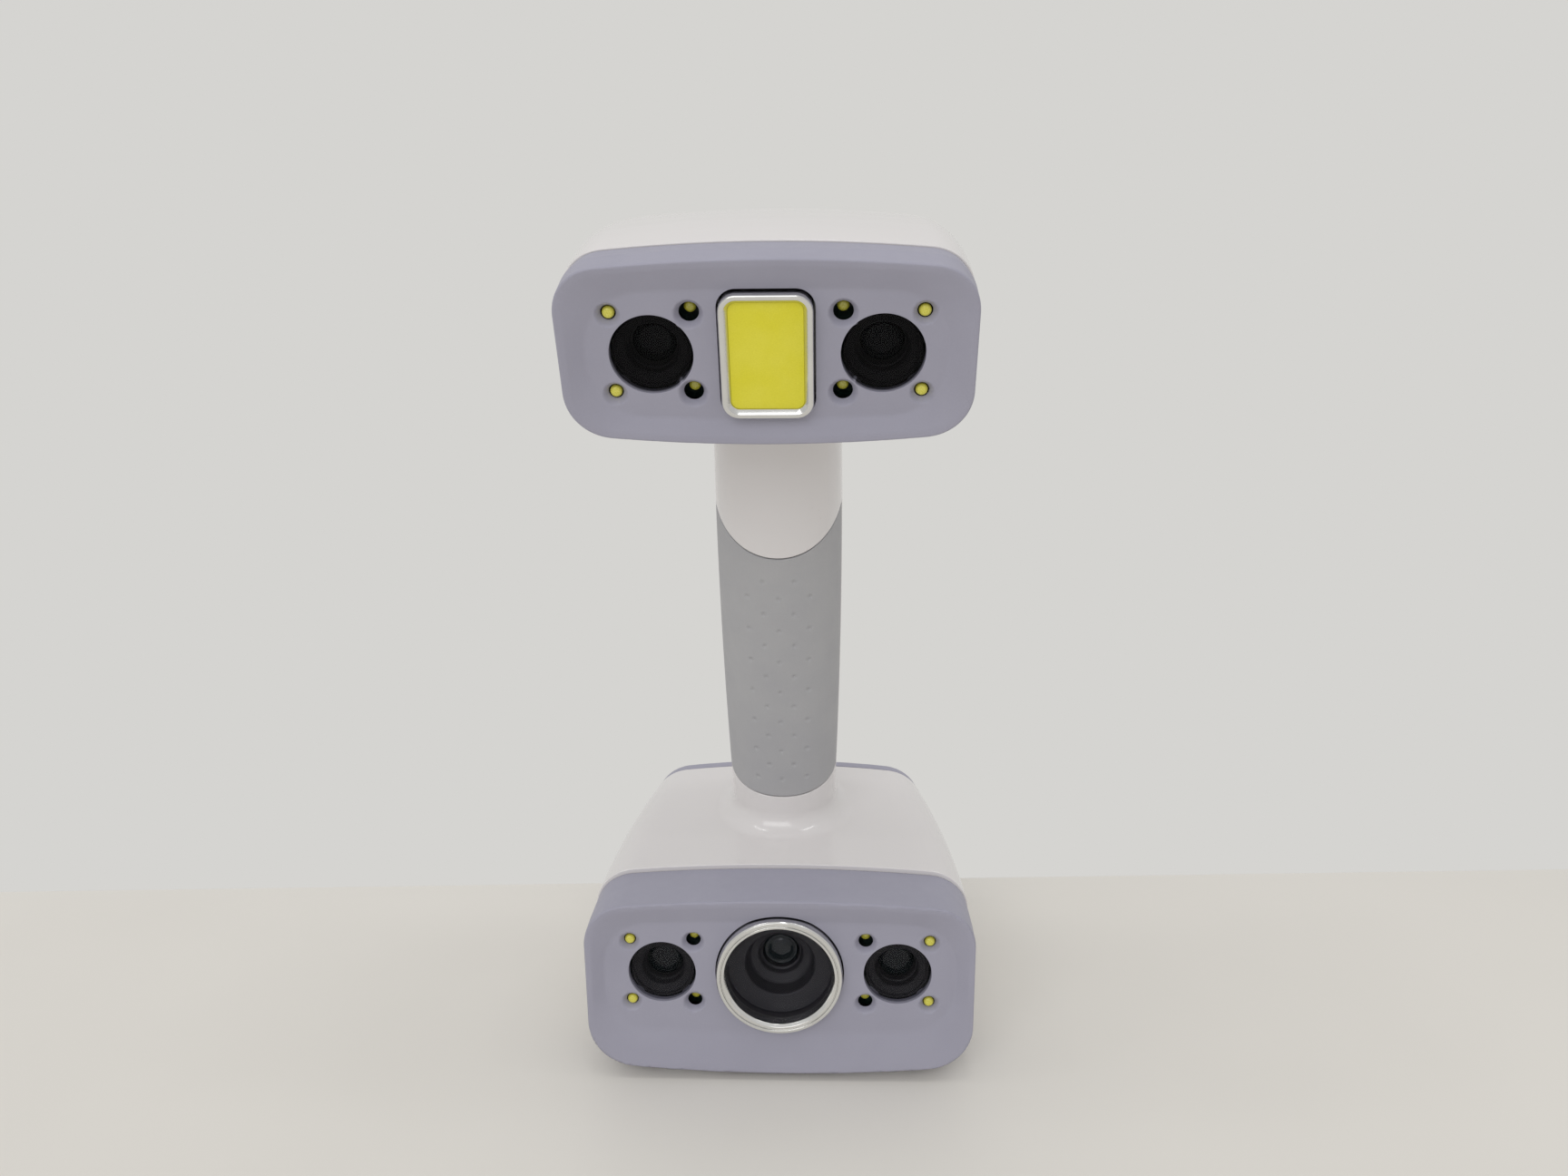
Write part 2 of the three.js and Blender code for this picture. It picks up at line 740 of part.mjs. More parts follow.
function foot() {
  const { length, width, height } = FOOT;
  const rings = [
    [0, 0.5],
    [0.5, 0],
    [height, 0],
  ].map(([z, inset]) => {
    const shape = roundedRect(length - 2 * inset, width - 2 * inset, width / 2 - inset - 0.01);
    return shape.getPoints(2).slice(0, -1).map((p) => new THREE.Vector3(p.x, p.y, z));
  });
  return loft(rings);
}

// ---------------------------------------------------------------- assembly

const scanner = new THREE.Group();
scanner.add(upper, lower);

function add(parent, name, geometry, material, x = 0, y = 0, z = 0) {
  const mesh = new THREE.Mesh(geometry, material);
  mesh.name = name;
  mesh.position.set(x, y, z);
  parent.add(mesh);
  return mesh;
}

function addCameras(group, head, prefix) {
  for (const [side, name] of [[-1, 'left'], [1, 'right']]) {
    const x = side * head.cameraX;
    add(group, `${prefix}_${name}_camera_window`, cameraWindow(), GLASS(), x);
    add(group, `${prefix}_${name}_camera_barrel`, cameraBarrel(), BLACK(), x);
    add(group, `${prefix}_${name}_sensor_board`, sensorBoard(), CIRCUIT(), x);
    add(group, `${prefix}_${name}_led_board`, ledBoard(side), CIRCUIT(), x);
  }
}

add(upper, 'upper_front_bezel', upperBezel(), LAVENDER());
add(upper, 'upper_shell', upperShell(), WHITE());
add(upper, 'upper_rear_cover', upperRearCover(), LAVENDER());
add(upper, 'lamp_frame', lampFrame(), SILVER());
add(upper, 'lamp_panel', lampPanel(), PHOSPHOR());
add(upper, 'lamp_board', lampBoard(), ALUMINIUM());
add(upper, 'lamp_heat_sink', finned(22, 30, -18, -6.9, 6), ALUMINIUM());
add(upper, 'keypad_board', prism(roundedRect(58, 20, 2), -60.2, -58.8, 1), CIRCUIT(), 0, KEYS.scan.y);
add(upper, 'status_light_ring', statusLightRing(), FROSTED(), KEYS.scan.x, KEYS.scan.y);
for (const [name, place] of Object.entries(KEYS)) {
  add(upper, `${name}_button`, key(place), WHITE(), place.x, place.y);
}
addCameras(upper, UPPER, 'upper');

add(lower, 'lower_front_bezel', lowerBezel(), LAVENDER());
add(lower, 'lower_shell', lowerShell(), WHITE());
add(lower, 'lower_rear_cover', lowerRearCover(), LAVENDER());
add(lower, 'projector_ring', projectorRing(), SILVER());
add(lower, 'projector_window', projectorWindow(), GLASS());
add(lower, 'projector_baffle', projectorBaffle(), BLACK());
add(lower, 'projector_lens', projectorLens(), GLASS());
add(lower, 'projector_engine', projectorEngine(), ALUMINIUM());
add(lower, 'projector_heat_sink', finned(32, 30, -68, -58.3, 8), ALUMINIUM());
add(lower, 'fan_frame', fanFrame(), BLACK(), FAN.x, FAN.y);
add(lower, 'fan_rotor', fanRotor(), BLACK(), FAN.x, FAN.y);
add(lower, 'main_board', block(64, 1.6, -72, -20), CIRCUIT(), 0, -21.5);
add(lower, 'cable_socket', cableSocket(), BLACK(), SOCKET.x, SOCKET.y);
COVER_SCREWS.forEach(([x, y], i) => {
  add(lower, `cover_screw_${i + 1}`, coverScrew(), STEEL(), x, y);
});
addCameras(lower, LOWER, 'lower');

add(scanner, 'grip_pad', gripPad(), GREY_RUBBER());
add(scanner, 'grip_carrier', gripCarrier(), BLACK());
add(scanner, 'handle_rear_shell', handleRearShell(), WHITE());
add(scanner, 'handle_spine', handleSpine(), ALUMINIUM());
add(scanner, 'cable_harness', cableHarness(), BLACK());

for (const [row, y] of [['front', 4.5], ['rear', 68]]) {
  add(scanner, `${row}_left_foot`, foot(), GREY_RUBBER(), -25, y);
  add(scanner, `${row}_right_foot`, foot(), GREY_RUBBER(), 25, y);
}

// The origin is the middle of the footprint, on the surface that the feet rest on.
const part = new THREE.Group();
part.add(scanner);
part.updateMatrixWorld(true);
const bounds = new THREE.Box3().setFromObject(scanner, true);
const middle = bounds.getCenter(new THREE.Vector3());
scanner.position.set(-middle.x, -middle.y, -bounds.min.z);

export default part;
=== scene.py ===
"""The looks of a handheld structured-light 3D scanner: two camera heads joined by a leaning handle.

Lengths are millimetres on the frame's own axes, and become metres when a mesh is made.
The mouldings are drawn as distance fields, negative inside, which are meshed, trimmed along
their seams and given rounded edges and a wall thickness.
"""

import math

import bmesh
import bpy
import numpy as np
from mathutils import Matrix, Vector


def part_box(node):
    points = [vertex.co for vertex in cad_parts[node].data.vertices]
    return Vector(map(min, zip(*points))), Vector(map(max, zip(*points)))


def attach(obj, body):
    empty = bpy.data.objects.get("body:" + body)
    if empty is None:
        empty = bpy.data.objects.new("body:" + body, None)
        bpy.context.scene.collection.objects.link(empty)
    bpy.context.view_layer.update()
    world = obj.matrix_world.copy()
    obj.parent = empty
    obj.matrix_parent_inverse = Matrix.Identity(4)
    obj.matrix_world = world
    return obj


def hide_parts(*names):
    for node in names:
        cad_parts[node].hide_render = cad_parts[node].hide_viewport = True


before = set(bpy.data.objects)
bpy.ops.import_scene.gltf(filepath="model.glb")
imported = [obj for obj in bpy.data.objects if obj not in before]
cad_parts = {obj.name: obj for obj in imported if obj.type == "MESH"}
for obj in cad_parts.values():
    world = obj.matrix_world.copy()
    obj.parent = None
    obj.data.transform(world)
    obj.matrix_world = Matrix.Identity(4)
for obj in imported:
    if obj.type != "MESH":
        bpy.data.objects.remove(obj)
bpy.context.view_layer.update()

MM = 0.001  # metres
TOUCHING = 0.001  # points closer than this are one
SHARP_ANGLE = math.radians(38)  # edges sharper than this are not shaded smooth

# -------- places taken from the frame


def vertices(mesh):
    flat = np.empty(len(mesh.vertices) * 3)
    mesh.vertices.foreach_get("co", flat)
    return flat.reshape(-1, 3)


def corners(node):
    """The vertices of a CAD node, in millimetres."""
    return vertices(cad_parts[node].data) / MM


def half_width(node):
    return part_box(node)[1].x / MM


class Head:
    """A head's own axes: x across, y up the face, z out of it, from the middle of its lens line."""

    window_middle = 1.1  # the camera windows are set back this far

    def __init__(self, prefix):
        left = corners(f"{prefix}_left_camera_window")
        right = corners(f"{prefix}_right_camera_window")
        out = np.linalg.svd(left - left.mean(0), full_matrices=False)[2][2]
        out *= -np.sign(out[1])
        across = np.array([1.0, 0.0, 0.0])
        self.prefix = prefix
        self.axes = np.stack([across, np.cross(out, across), out], axis=1)
        self.origin = (left.mean(0) + right.mean(0)) / 2 + self.window_middle * out
        self.camera_x = (right.mean(0) - left.mean(0))[0] / 2

    def to_world(self, points):
        return self.origin + np.asarray(points) @ self.axes.T

    def turn(self, directions):
        return np.asarray(directions) @ self.axes.T


class World:
    """The frame's own axes, for the pieces of the handle."""

    @staticmethod
    def to_world(points):
        return np.asarray(points)

    turn = to_world


LOWER = Head("lower")
UPPER = Head("upper")

# Outlines of the heads: heights above and below the lens line, corner sizes and the bow of the
# top and bottom edges. Every depth is behind the lens plane.
LOWER.rim = dict(
    half_width=half_width("lower_front_bezel"),
    top=23.3, bottom=31.2,
    corner_top=11.5, corner_bottom=13, bow=1.8,
)
LOWER.flat = dict(half_width=48.6, top=15.4, bottom=17.8, corner_top=13, corner_bottom=13, bow=0.6)
LOWER.bezel_depth = 17.5
LOWER.bezel_draft = 0.4
LOWER.bezel_cell = 0.62
LOWER.shell_end = 80.5
LOWER.depth = 84.8
LOWER.back_edge = 1.6
UPPER.rim = dict(
    half_width=half_width("upper_front_bezel"),
    top=22.7, bottom=21.6,
    corner_top=10, corner_bottom=10.5, bow=1.7,
)
UPPER.flat = dict(half_width=39.8, top=14.6, bottom=15.4, corner_top=13, corner_bottom=13, bow=0.5)
UPPER.bezel_depth = 10
UPPER.bezel_draft = 0.8
UPPER.bezel_cell = 0.5
UPPER.shell_end = 51.5
UPPER.depth = 66
UPPER.back_edge = 4

SHELL_PROUD = 0.2  # the lower white shell stands this far outside its bezel
SHELL_SUNK = 0.4  # and the top of the upper one lies this far inside it
LOWER_LEAN = math.radians(2.87)  # the lower head's face leans back by this much
LOWER_DRAW_IN = 0.00145  # the shells narrow by this times the square of the depth
UPPER_DRAW_IN = {"sides": 0.0019, "top": 0.00434, "bottom": 0.0009}
GAP = 0.3
FRONT_SEAM = 0.12  # between each bezel and the shell behind it
SEAM = GAP / 2  # each of two neighbours stops this far from the line between them
WALL = 2.2
BEZEL_WALL = 2.4

# The mouldings' mesh cells, and the rounding of their edges along the seams.
SHELL_CELL = 0.95
HANDLE_CELL = 0.9
COVER_CELL = 0.7
GRIP_CELL = 0.42
BEZEL_EDGE = 0.14
COVER_EDGE = 0.25
GRIP_EDGE = 0.35

RIM_HEIGHT = 2.15
RIM_EDGE = 0.55
TAPER_START = 4.6  # behind this depth the bezels narrow towards their shells
LAND = 1.7  # width of the rim's top
LAND_FALL = 0.2
LAND_CREASE = 0.28  # how softly the land turns into the slope

WINDOW_RADIUS = 9.1
LED_X = 8.85
LED_Y = 9.5
LED_RADIUS = 1.42
LOWER.led_hole = {"outer": 1.6, "inner": 1.95}  # the holes nearer the middle are wider
LOWER.window_glass = "dark_glass"
UPPER.window_glass = "smoked_glass"  # nothing shows behind the upper windows
UPPER.led_hole = {"outer": 1.65, "inner": 2.2}
COUNTERSINK = {"width": 1.3, "depth": 1.8}
LED_FRONT = {"outer": -0.75, "inner": -3.9}  # the LEDs in the wider holes sit deeper
LED_BOARD = {"back": -7.4, "front": -6}

LAMP = dict(width=20.75, height=29.6, corner=4)
LAMP_OPENING = dict(width=21.6, height=30.5, corner=4.4)
LAMP_PANEL = dict(width=16.5, height=25.35, corner=1.9)
PROJECTOR_RADIUS = 17.6

KEYS = {"scan": (0, -4, 7.4), "plus": (21, -4, 4.6), "minus": (-21, -4, 4.6)}
LIGHT_RING = {"inner": 8.2, "outer": 9.6}
SOCKET = {"x": -26, "y": -5, "bore": 4.8, "outer": 7}
SCREWS = [(-34, 10), (34, 10), (-33, -16), (33, -16)]
SCREW_HOLE = 3.1
SCREW_HEAD = dict(radius=2.75, thickness=0.8, cross_reach=1.5, cross_half=0.4)
VENT = {"x": 6, "y": -3, "count": 7, "pitch": 4.4, "width": 2, "height": 24}

HANDLE_WIDEST = 17.5
HANDLE_WIDEST_Z = 150
HANDLE_TAPER = 1.6
HANDLE_TAPER_SPAN = 82
HANDLE_HALF_DEPTH = 17
HANDLE_POWER = 2.25
HANDLE_THINNING = 0.03  # per millimetre of height, above the widest place
HANDLE_LOW = 50  # the column starts here inside the lower head
HANDLE_HIGH = 211  # and ends here inside the upper one
LOWER_FLARE = 6
UPPER_FLARE = 4
SPINE_SET_FORWARD = 2
SPLIT_Y = -3  # the grip meets the rear shell this far from the handle's axis
REAR_SHELL_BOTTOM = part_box("handle_rear_shell")[0].z / MM
REAR_SHELL_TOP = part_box("handle_rear_shell")[1].z / MM
GRIP_TOP = dict(centre=163.6, radius_x=17.9, radius_z=17.6)
GRIP_BOTTOM = dict(centre=74.7, radius_x=16.4, radius_z=6)
GRIP_WALL = 2.6


def handle_axis_line():
    """Where the handle's axis is at height 0, and how far it moves back per millimetre of height."""
    spine = corners("handle_spine")
    bar_reach, bar_middle = 7.5, 100
    bar = spine[np.abs(spine[:, 0]) < bar_reach]
    low = bar[bar[:, 2] < bar_middle].mean(0)
    high = bar[bar[:, 2] > bar_middle].mean(0)
    slope = (high[1] - low[1]) / (high[2] - low[2])
    return low[1] - slope * low[2] + SPINE_SET_FORWARD, slope


AXIS_AT_FLOOR, AXIS_SLOPE = handle_axis_line()


def axis_y(z):
    return AXIS_AT_FLOOR + AXIS_SLOPE * z


# -------- distance fields


def outline(x, y, half_width, top, bottom, corner_top, corner_bottom, bow):
    """A rounded rectangle whose top and bottom edges bow outwards."""
    power = 2.15  # a little squarer than a circle
    upper = y > 0
    corner = np.where(upper, corner_top, corner_bottom)
    run = half_width - corner
    edge = np.where(upper, top, bottom) - bow * (x / run) ** 2
    across = np.abs(x) - run
    along = np.abs(y) - (edge - corner)
    outside = np.maximum(across, 0) ** power + np.maximum(along, 0) ** power
    return outside ** (1 / power) + np.minimum(np.maximum(across, along), 0) - corner


def rounded_box(x, y, width, height, corner):
    across = np.abs(x) - width / 2 + corner
    along = np.abs(y) - height / 2 + corner
    outside = np.hypot(np.maximum(across, 0), np.maximum(along, 0))
    return outside + np.minimum(np.maximum(across, along), 0) - corner


def round_join(a, b, radius):
    """Both bodies, with a fillet of that radius where they meet."""
    fillet = np.hypot(np.maximum(radius - a, 0), np.maximum(radius - b, 0))
    return np.maximum(radius, np.minimum(a, b)) - fillet


def round_common(a, b, radius):
    """What both bodies share, with its edge rounded to that radius."""
    return -round_join(-a, -b, radius)


def lower_section(depth):
    level = depth * math.tan(LOWER_LEAN)  # keeps the top and bottom faces level
    section = dict(LOWER.rim)
    section["half_width"] = LOWER.rim["half_width"] + SHELL_PROUD - LOWER_DRAW_IN * depth**2
    section["top"] = LOWER.rim["top"] + level
    section["bottom"] = LOWER.rim["bottom"] - level
    return section


def upper_section(depth):
    behind = np.maximum(depth - UPPER.bezel_depth, 0)
    section = dict(UPPER.rim)
    section["half_width"] = UPPER.rim["half_width"] - UPPER_DRAW_IN["sides"] * behind**2
    section["top"] = UPPER.rim["top"] - SHELL_SUNK - UPPER_DRAW_IN["top"] * behind**2
    section["bottom"] = UPPER.rim["bottom"] - UPPER_DRAW_IN["bottom"] * behind**2
    return section


LOWER.section = lower_section
UPPER.section = upper_section


def handle(x, y, z):
    """The leaning oval column, in the frame's axes."""
    narrowing = HANDLE_TAPER * ((HANDLE_WIDEST_Z - z) / HANDLE_TAPER_SPAN) ** 2
    width = HANDLE_WIDEST - narrowing
    depth = HANDLE_HALF_DEPTH - HANDLE_THINNING * np.maximum(z - HANDLE_WIDEST_Z, 0)
    oval = np.abs(x / width) ** HANDLE_POWER + np.abs((y - axis_y(z)) / depth) ** HANDLE_POWER
    return (oval ** (1 / HANDLE_POWER) - 1) * width


def in_world(head, x, y, z):
    """The frame's coordinates of points given on a head's axes."""
    points = head.to_world(np.stack([x, y, z], axis=-1))
    return points[..., 0], points[..., 1], points[..., 2]


def lowest_of(*distances):
    result = distances[0]
    for distance in distances[1:]:
        result = np.minimum(result, distance)
    return result


def grip_line(end, x):
    """Height of the U at one end of the grip."""
    share = np.clip(1 - (x / end["radius_x"]) ** 2, 0, 1)
    return end["centre"] - end["radius_z"] * np.sqrt(share)


def behind_split(y, z):
    return y - axis_y(z) - SPLIT_Y


# -------- meshing the fields


def gradient(field, points, reach=0.04):
    columns = []
    for axis in range(3):
        step = np.zeros(3)
        step[axis] = reach
        columns.append((field(*(points + step).T) - field(*(points - step).T)) / (2 * reach))
    return np.stack(columns, axis=1)


def length(vectors):
    return np.maximum(np.linalg.norm(vectors, axis=1, keepdims=True), 1e-6)


def unit(vectors):
    return vectors / length(vectors)


def settled(points, field, rounds=3):
    """The points moved onto the field's surface."""
    for _ in range(rounds):
        rise = gradient(field, points)
        move = field(*points.T)[:, None] * rise / length(rise) ** 2
        points = points - np.clip(move, -1, 1)
    return points


def across_seam(points, field, seam):
    """The direction in the surface in which the seam's distance grows, with its rate as length."""
    normal = unit(gradient(field, points))
    rise = gradient(seam, points)
    return rise - normal * (rise * normal).sum(1, keepdims=True)


def seam_distance(points, field, seam, edge):
    rate = length(across_seam(points, field, seam))[:, 0]
    return seam(*points.T) / np.maximum(rate, 0.2) - edge


def settled_on_seam(points, field, seam, edge):
    for _ in range(5):
        distance = seam_distance(points, field, seam, edge)[:, None]
        direction = unit(across_seam(points, field, seam))
        points = settled(points - np.clip(distance, -1, 1) * direction, field, 1)
    return settled(points, field, 2)


def net_surface(field, low, high, step):
    """A mesh of the field's surface with one vertex in each grid cell that the surface crosses."""
    low = np.array(low, float)
    axes = [np.arange(a, b + step, step) for a, b in zip(low, high)]
    value = field(*np.meshgrid(*axes, indexing="ij"))
    cells = np.array(value.shape) - 1
    total = np.zeros((*cells, 3))
    count = np.zeros(cells)
    for axis in range(3):
        others = [a for a in range(3) if a != axis]
        for shift in ((0, 0), (0, 1), (1, 0), (1, 1)):
            start = np.zeros(3, int)
            start[others] = shift
            near = value[tuple(slice(s, s + n) for s, n in zip(start, cells))]
            start[axis] = 1
            far = value[tuple(slice(s, s + n) for s, n in zip(start, cells))]
            crossed = (near < 0) != (far < 0)
            share = np.where(crossed, near / np.where(crossed, near - far, 1), 0)
            start[axis] = 0
            for a in range(3):
                total[..., a] += np.where(crossed, start[a], 0)
            total[..., axis] += share
            count += crossed
    used = np.argwhere(count > 0)
    number = np.full(cells, -1)
    number[tuple(used.T)] = np.arange(len(used))
    points = low + (used + total[tuple(used.T)] / count[tuple(used.T)][:, None]) * step
    faces = []
    for axis in range(3):
        u, v = (axis + 1) % 3, (axis + 2) % 3
        inner = [slice(1, n) for n in cells]
        inner[axis] = slice(0, cells[axis])
        near = value[tuple(inner)]
        inner[axis] = slice(1, cells[axis] + 1)
        far = value[tuple(inner)]
        for leaving in (True, False):
            crossed = ((near < 0) & (far >= 0)) if leaving else ((near >= 0) & (far < 0))
            edge = np.argwhere(crossed)
            edge[:, u] += 1
            edge[:, v] += 1
            around = []
            for du, dv in ((-1, -1), (0, -1), (0, 0), (-1, 0)):
                cell = edge.copy()
                cell[:, u] += du
                cell[:, v] += dv
                around.append(number[tuple(cell.T)])
            quad = np.stack(around if leaving else around[::-1], axis=1)
            faces += [quad[:, [0, 1, 2]], quad[:, [0, 2, 3]]]
    return settled(points, field), np.concatenate(faces)


def trimmed(points, faces, field, seam, edge, step):
    """The part of the mesh at least an edge's width inside the seam, cut exactly along it."""
    value = seam_distance(points, field, seam, edge)
    near = np.abs(value) < 0.3 * step
    points[near] = settled_on_seam(points[near], field, seam, edge)
    value[near] = 0
    low, high = value[faces].min(1), value[faces].max(1)
    flat = (low == 0) & (high == 0)
    middle = seam_distance(points[faces].mean(1), field, seam, edge)
    kept = faces[(low >= 0) & (~flat | (middle > 0))].tolist()
    fresh = {}
    for face in faces[(low < 0) & (high > 0)]:
        ring = []
        for a, b in zip(face, np.roll(face, -1)):
            if value[a] >= 0:
                ring.append(a)
            if value[a] * value[b] < 0:
                ring.append(fresh.setdefault((min(a, b), max(a, b)), len(points) + len(fresh)))
        kept += [[ring[0], ring[i], ring[i + 1]] for i in range(1, len(ring) - 1)]
    if fresh:
        ends = np.array(list(fresh))
        a, b = ends.T
        share = (value[a] / (value[a] - value[b]))[:, None]
        between = points[a] + share * (points[b] - points[a])
        points = np.concatenate([points, settled_on_seam(between, field, seam, edge)])
    kept = np.array(kept)
    used, kept = np.unique(kept, return_inverse=True)
    return points[used], kept.reshape(-1, 3)


def open_edges(faces):
    """The directed edges that only one face has."""
    pairs = np.concatenate([faces[:, [0, 1]], faces[:, [1, 2]], faces[:, [2, 0]]])
    size = faces.max() + 1
    forward = pairs[:, 0] * size + pairs[:, 1]
    backward = pairs[:, 1] * size + pairs[:, 0]
    return pairs[~np.isin(forward, backward)]


def thickened(points, faces, field, seam, wall, edge):
    """The skin given rounded edges, a flat rim and an inner face, as one closed mesh."""
    normals = unit(gradient(field, points))
    rim_edges = open_edges(faces)
    rim = np.unique(rim_edges)
    place = np.zeros(len(points), int)
    place[rim] = np.arange(len(rim))
    out = -unit(across_seam(points[rim], field, seam))
    normal = normals[rim]
    all_points = [points]
    all_normals = [normals]
    starts = []
    total = len(points)
    for angle in (30, 60, 90):
        sine, cosine = math.sin(math.radians(angle)), math.cos(math.radians(angle))
        all_points.append(points[rim] + edge * (sine * out - (1 - cosine) * normal))
        all_normals.append(cosine * normal + sine * out)
        starts.append(total)
        total += len(rim)
    all_points.append(points[rim] + edge * out - wall * normal)
    all_normals.append(out)
    starts.append(total)
    total += len(rim)
    inner = points
    march = 8
    for _ in range(march):
        inner = inner - wall / march * unit(gradient(field, inner))
    all_points.append(inner)
    all_normals.append(-unit(gradient(field, inner)))
    inner_start = total
    a, b = rim_edges.T
    rows = [(a, b)] + [(start + place[a], start + place[b]) for start in starts]
    rows.append((inner_start + a, inner_start + b))
    strips = []
    for (a0, b0), (a1, b1) in zip(rows, rows[1:]):
        strips.append(np.stack([b0, a0, a1], axis=1))
        strips.append(np.stack([b0, a1, b1], axis=1))
    joined = np.concatenate([faces, *strips, inner_start + faces[:, ::-1]])
    return np.concatenate(all_points), joined, np.concatenate(all_normals)


def new_object(name, data):
    obj = bpy.data.objects.new(name, data)
    bpy.context.scene.collection.objects.link(obj)
    return obj


def show(obj, node, slot, body="root", finishes=None):
    """Makes obj stand for a CAD node, with the slot's own material or the ones that finishes names."""
    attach(obj, body)
    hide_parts(node)
    for name in finishes or (slot,):
        obj.data.materials.append(MATERIALS[name])


def moulded(node, slot, field, seam, low, high, cell, wall, edge=0.3, axes=World):
    """A moulded shell that stands for a CAD node, meshed in cells of that size between two corners."""
    points, faces = net_surface(field, low, high, cell)
    points, faces = trimmed(points, faces, field, seam, edge, cell)
    points, faces, normals = thickened(points, faces, field, seam, wall, edge)
    mesh = bpy.data.meshes.new(node + "_look")
    mesh.from_pydata(axes.to_world(points) * MM, [], faces.tolist())
    mesh.shade_smooth()
    mesh.normals_split_custom_set_from_vertices(axes.turn(normals).tolist())
    show(new_object(node + "_look", mesh), node, slot)


# -------- bezels


def led_places(head):
    """(x, y, hole name) of each of a head's eight LEDs."""
    places = []
    for side in (-1, 1):
        for dx in (-LED_X, LED_X):
            for y in (-LED_Y, LED_Y):
                hole = "inner" if dx * side < 0 else "outer"
                places.append((side * head.camera_x + dx, y, hole))
    return places


def face_height(head, x, y):
    """Height of the dished face over the lens plane."""
    inward = -outline(x, y, **head.rim)
    past_land = inward - LAND
    run = (past_land + np.sqrt(past_land**2 + LAND_CREASE**2)) / 2
    rise = np.maximum(outline(x, y, **head.flat), 0)
    share = run / (run + rise + 1e-6)
    straight = 1 - share / 0.9
    blend = 2.778 * (1 - share) ** 2  # meets the straight slope smoothly at a share of 0.8
    height = RIM_HEIGHT * np.where(share < 0.8, straight, blend)
    height = height - LAND_FALL * np.clip(inward / LAND, 0, 1) * (share < 0.999) * straight.clip(0, 1)
    for led_x, led_y, hole in led_places(head):
        radius = np.hypot(x - led_x, y - led_y) - head.led_hole[hole]
        sunk = np.clip(1 - radius / COUNTERSINK["width"], 0, 1)
        height = height - COUNTERSINK["depth"] * sunk**1.4
    return height


def bezel(head, opening):
    """A lavender front moulding. opening is the distance field of its middle hole."""
    prefix = head.prefix
    depth = head.bezel_depth

    def field(x, y, z):
        draft = head.bezel_draft * np.clip((-TAPER_START - z) / (depth - TAPER_START), 0, 1)
        side = outline(x, y, **head.rim) + draft
        return round_common(side, z - face_height(head, x, y), RIM_EDGE)

    def seam(x, y, z):
        distance = np.minimum(z + depth, opening(x, y))
        for side in (-1, 1):
            window = np.hypot(x - side * head.camera_x, y) - WINDOW_RADIUS - GAP
            distance = np.minimum(distance, window)
        for led_x, led_y, hole in led_places(head):
            led = np.hypot(x - led_x, y - led_y) - head.led_hole[hole]
            distance = np.minimum(distance, led)
        return distance

    width = head.rim["half_width"] + 1
    low = (-width, -head.rim["bottom"] - 1, -depth - 1.5)
    high = (width, head.rim["top"] + 1, RIM_HEIGHT + 1)
    name = f"{prefix}_front_bezel"
    cell = head.bezel_cell
    moulded(name, "lavender_plastic", field, seam, low, high, cell, BEZEL_WALL, BEZEL_EDGE, head)


# -------- white shells


def lower_shell():
    def field(x, y, z):
        head = outline(x, y, **lower_section(-z))
        world = in_world(LOWER, x, y, z)
        column = np.maximum(handle(*world), HANDLE_LOW - world[2])
        return round_join(head, column, LOWER_FLARE)

    def seam(x, y, z):
        wx, wy, wz = in_world(LOWER, x, y, z)
        behind = np.minimum(behind_split(wy, wz), REAR_SHELL_BOTTOM - wz - GAP)
        neck = np.maximum(grip_line(GRIP_BOTTOM, wx) - wz - GAP, behind + SEAM)
        return lowest_of(-z - LOWER.bezel_depth - FRONT_SEAM, z + LOWER.shell_end, neck)

    low = (-56, -34, -LOWER.shell_end - 3)
    high = (56, 52, -LOWER.bezel_depth + 2)
    moulded("lower_shell", "white_gloss", field, seam, low, high, SHELL_CELL, WALL, axes=LOWER)


def upper_shell():
    def field(x, y, z):
        head = outline(x, y, **upper_section(-z))
        world = in_world(UPPER, x, y, z)
        column = np.maximum(handle(*world), world[2] - HANDLE_HIGH)
        return round_join(head, column, UPPER_FLARE)

    def seam(x, y, z):
        wx, wy, wz = in_world(UPPER, x, y, z)
        behind = np.minimum(behind_split(wy, wz), wz - REAR_SHELL_TOP - GAP)
        neck = np.maximum(wz - grip_line(GRIP_TOP, wx) - GAP, behind + SEAM)
        under_cover = outline(x, y, **upper_section(-z)) - 2 * GAP
        end = np.maximum(z + UPPER.shell_end, under_cover)
        return lowest_of(-z - UPPER.bezel_depth - FRONT_SEAM, end, neck)

    low = (-48, -84, -UPPER.depth - 4)
    high = (48, 25, -UPPER.bezel_depth + 2)
    moulded("upper_shell", "white_gloss", field, seam, low, high, SHELL_CELL, WALL, axes=UPPER)


def handle_rear_shell():
    def seam(x, y, z):
        return lowest_of(behind_split(y, z) - SEAM, z - REAR_SHELL_BOTTOM, REAR_SHELL_TOP - z)

    low = (-19, axis_y(REAR_SHELL_TOP) - 7, REAR_SHELL_BOTTOM - 3)
    high = (19, axis_y(REAR_SHELL_BOTTOM) + 19, REAR_SHELL_TOP + 3)
    moulded("handle_rear_shell", "white_gloss", handle, seam, low, high, HANDLE_CELL, WALL)


def dimple_places():
    """(x, z) of the dimples: rows of three and rows of two by turns."""
    rows = 7
    top, pitch, between = 134, 9.88, 5.2
    lift = 0.5  # the outer dimples of a row of three sit a little higher
    places = []
    for row in range(rows):
        z = top - row * pitch
        spread = 8.65 - 0.25 * row
        places += [(-spread, z + lift), (0, z), (spread, z + lift)]
        places += [(-spread / 2, z + between), (spread / 2, z + between)]
    return places


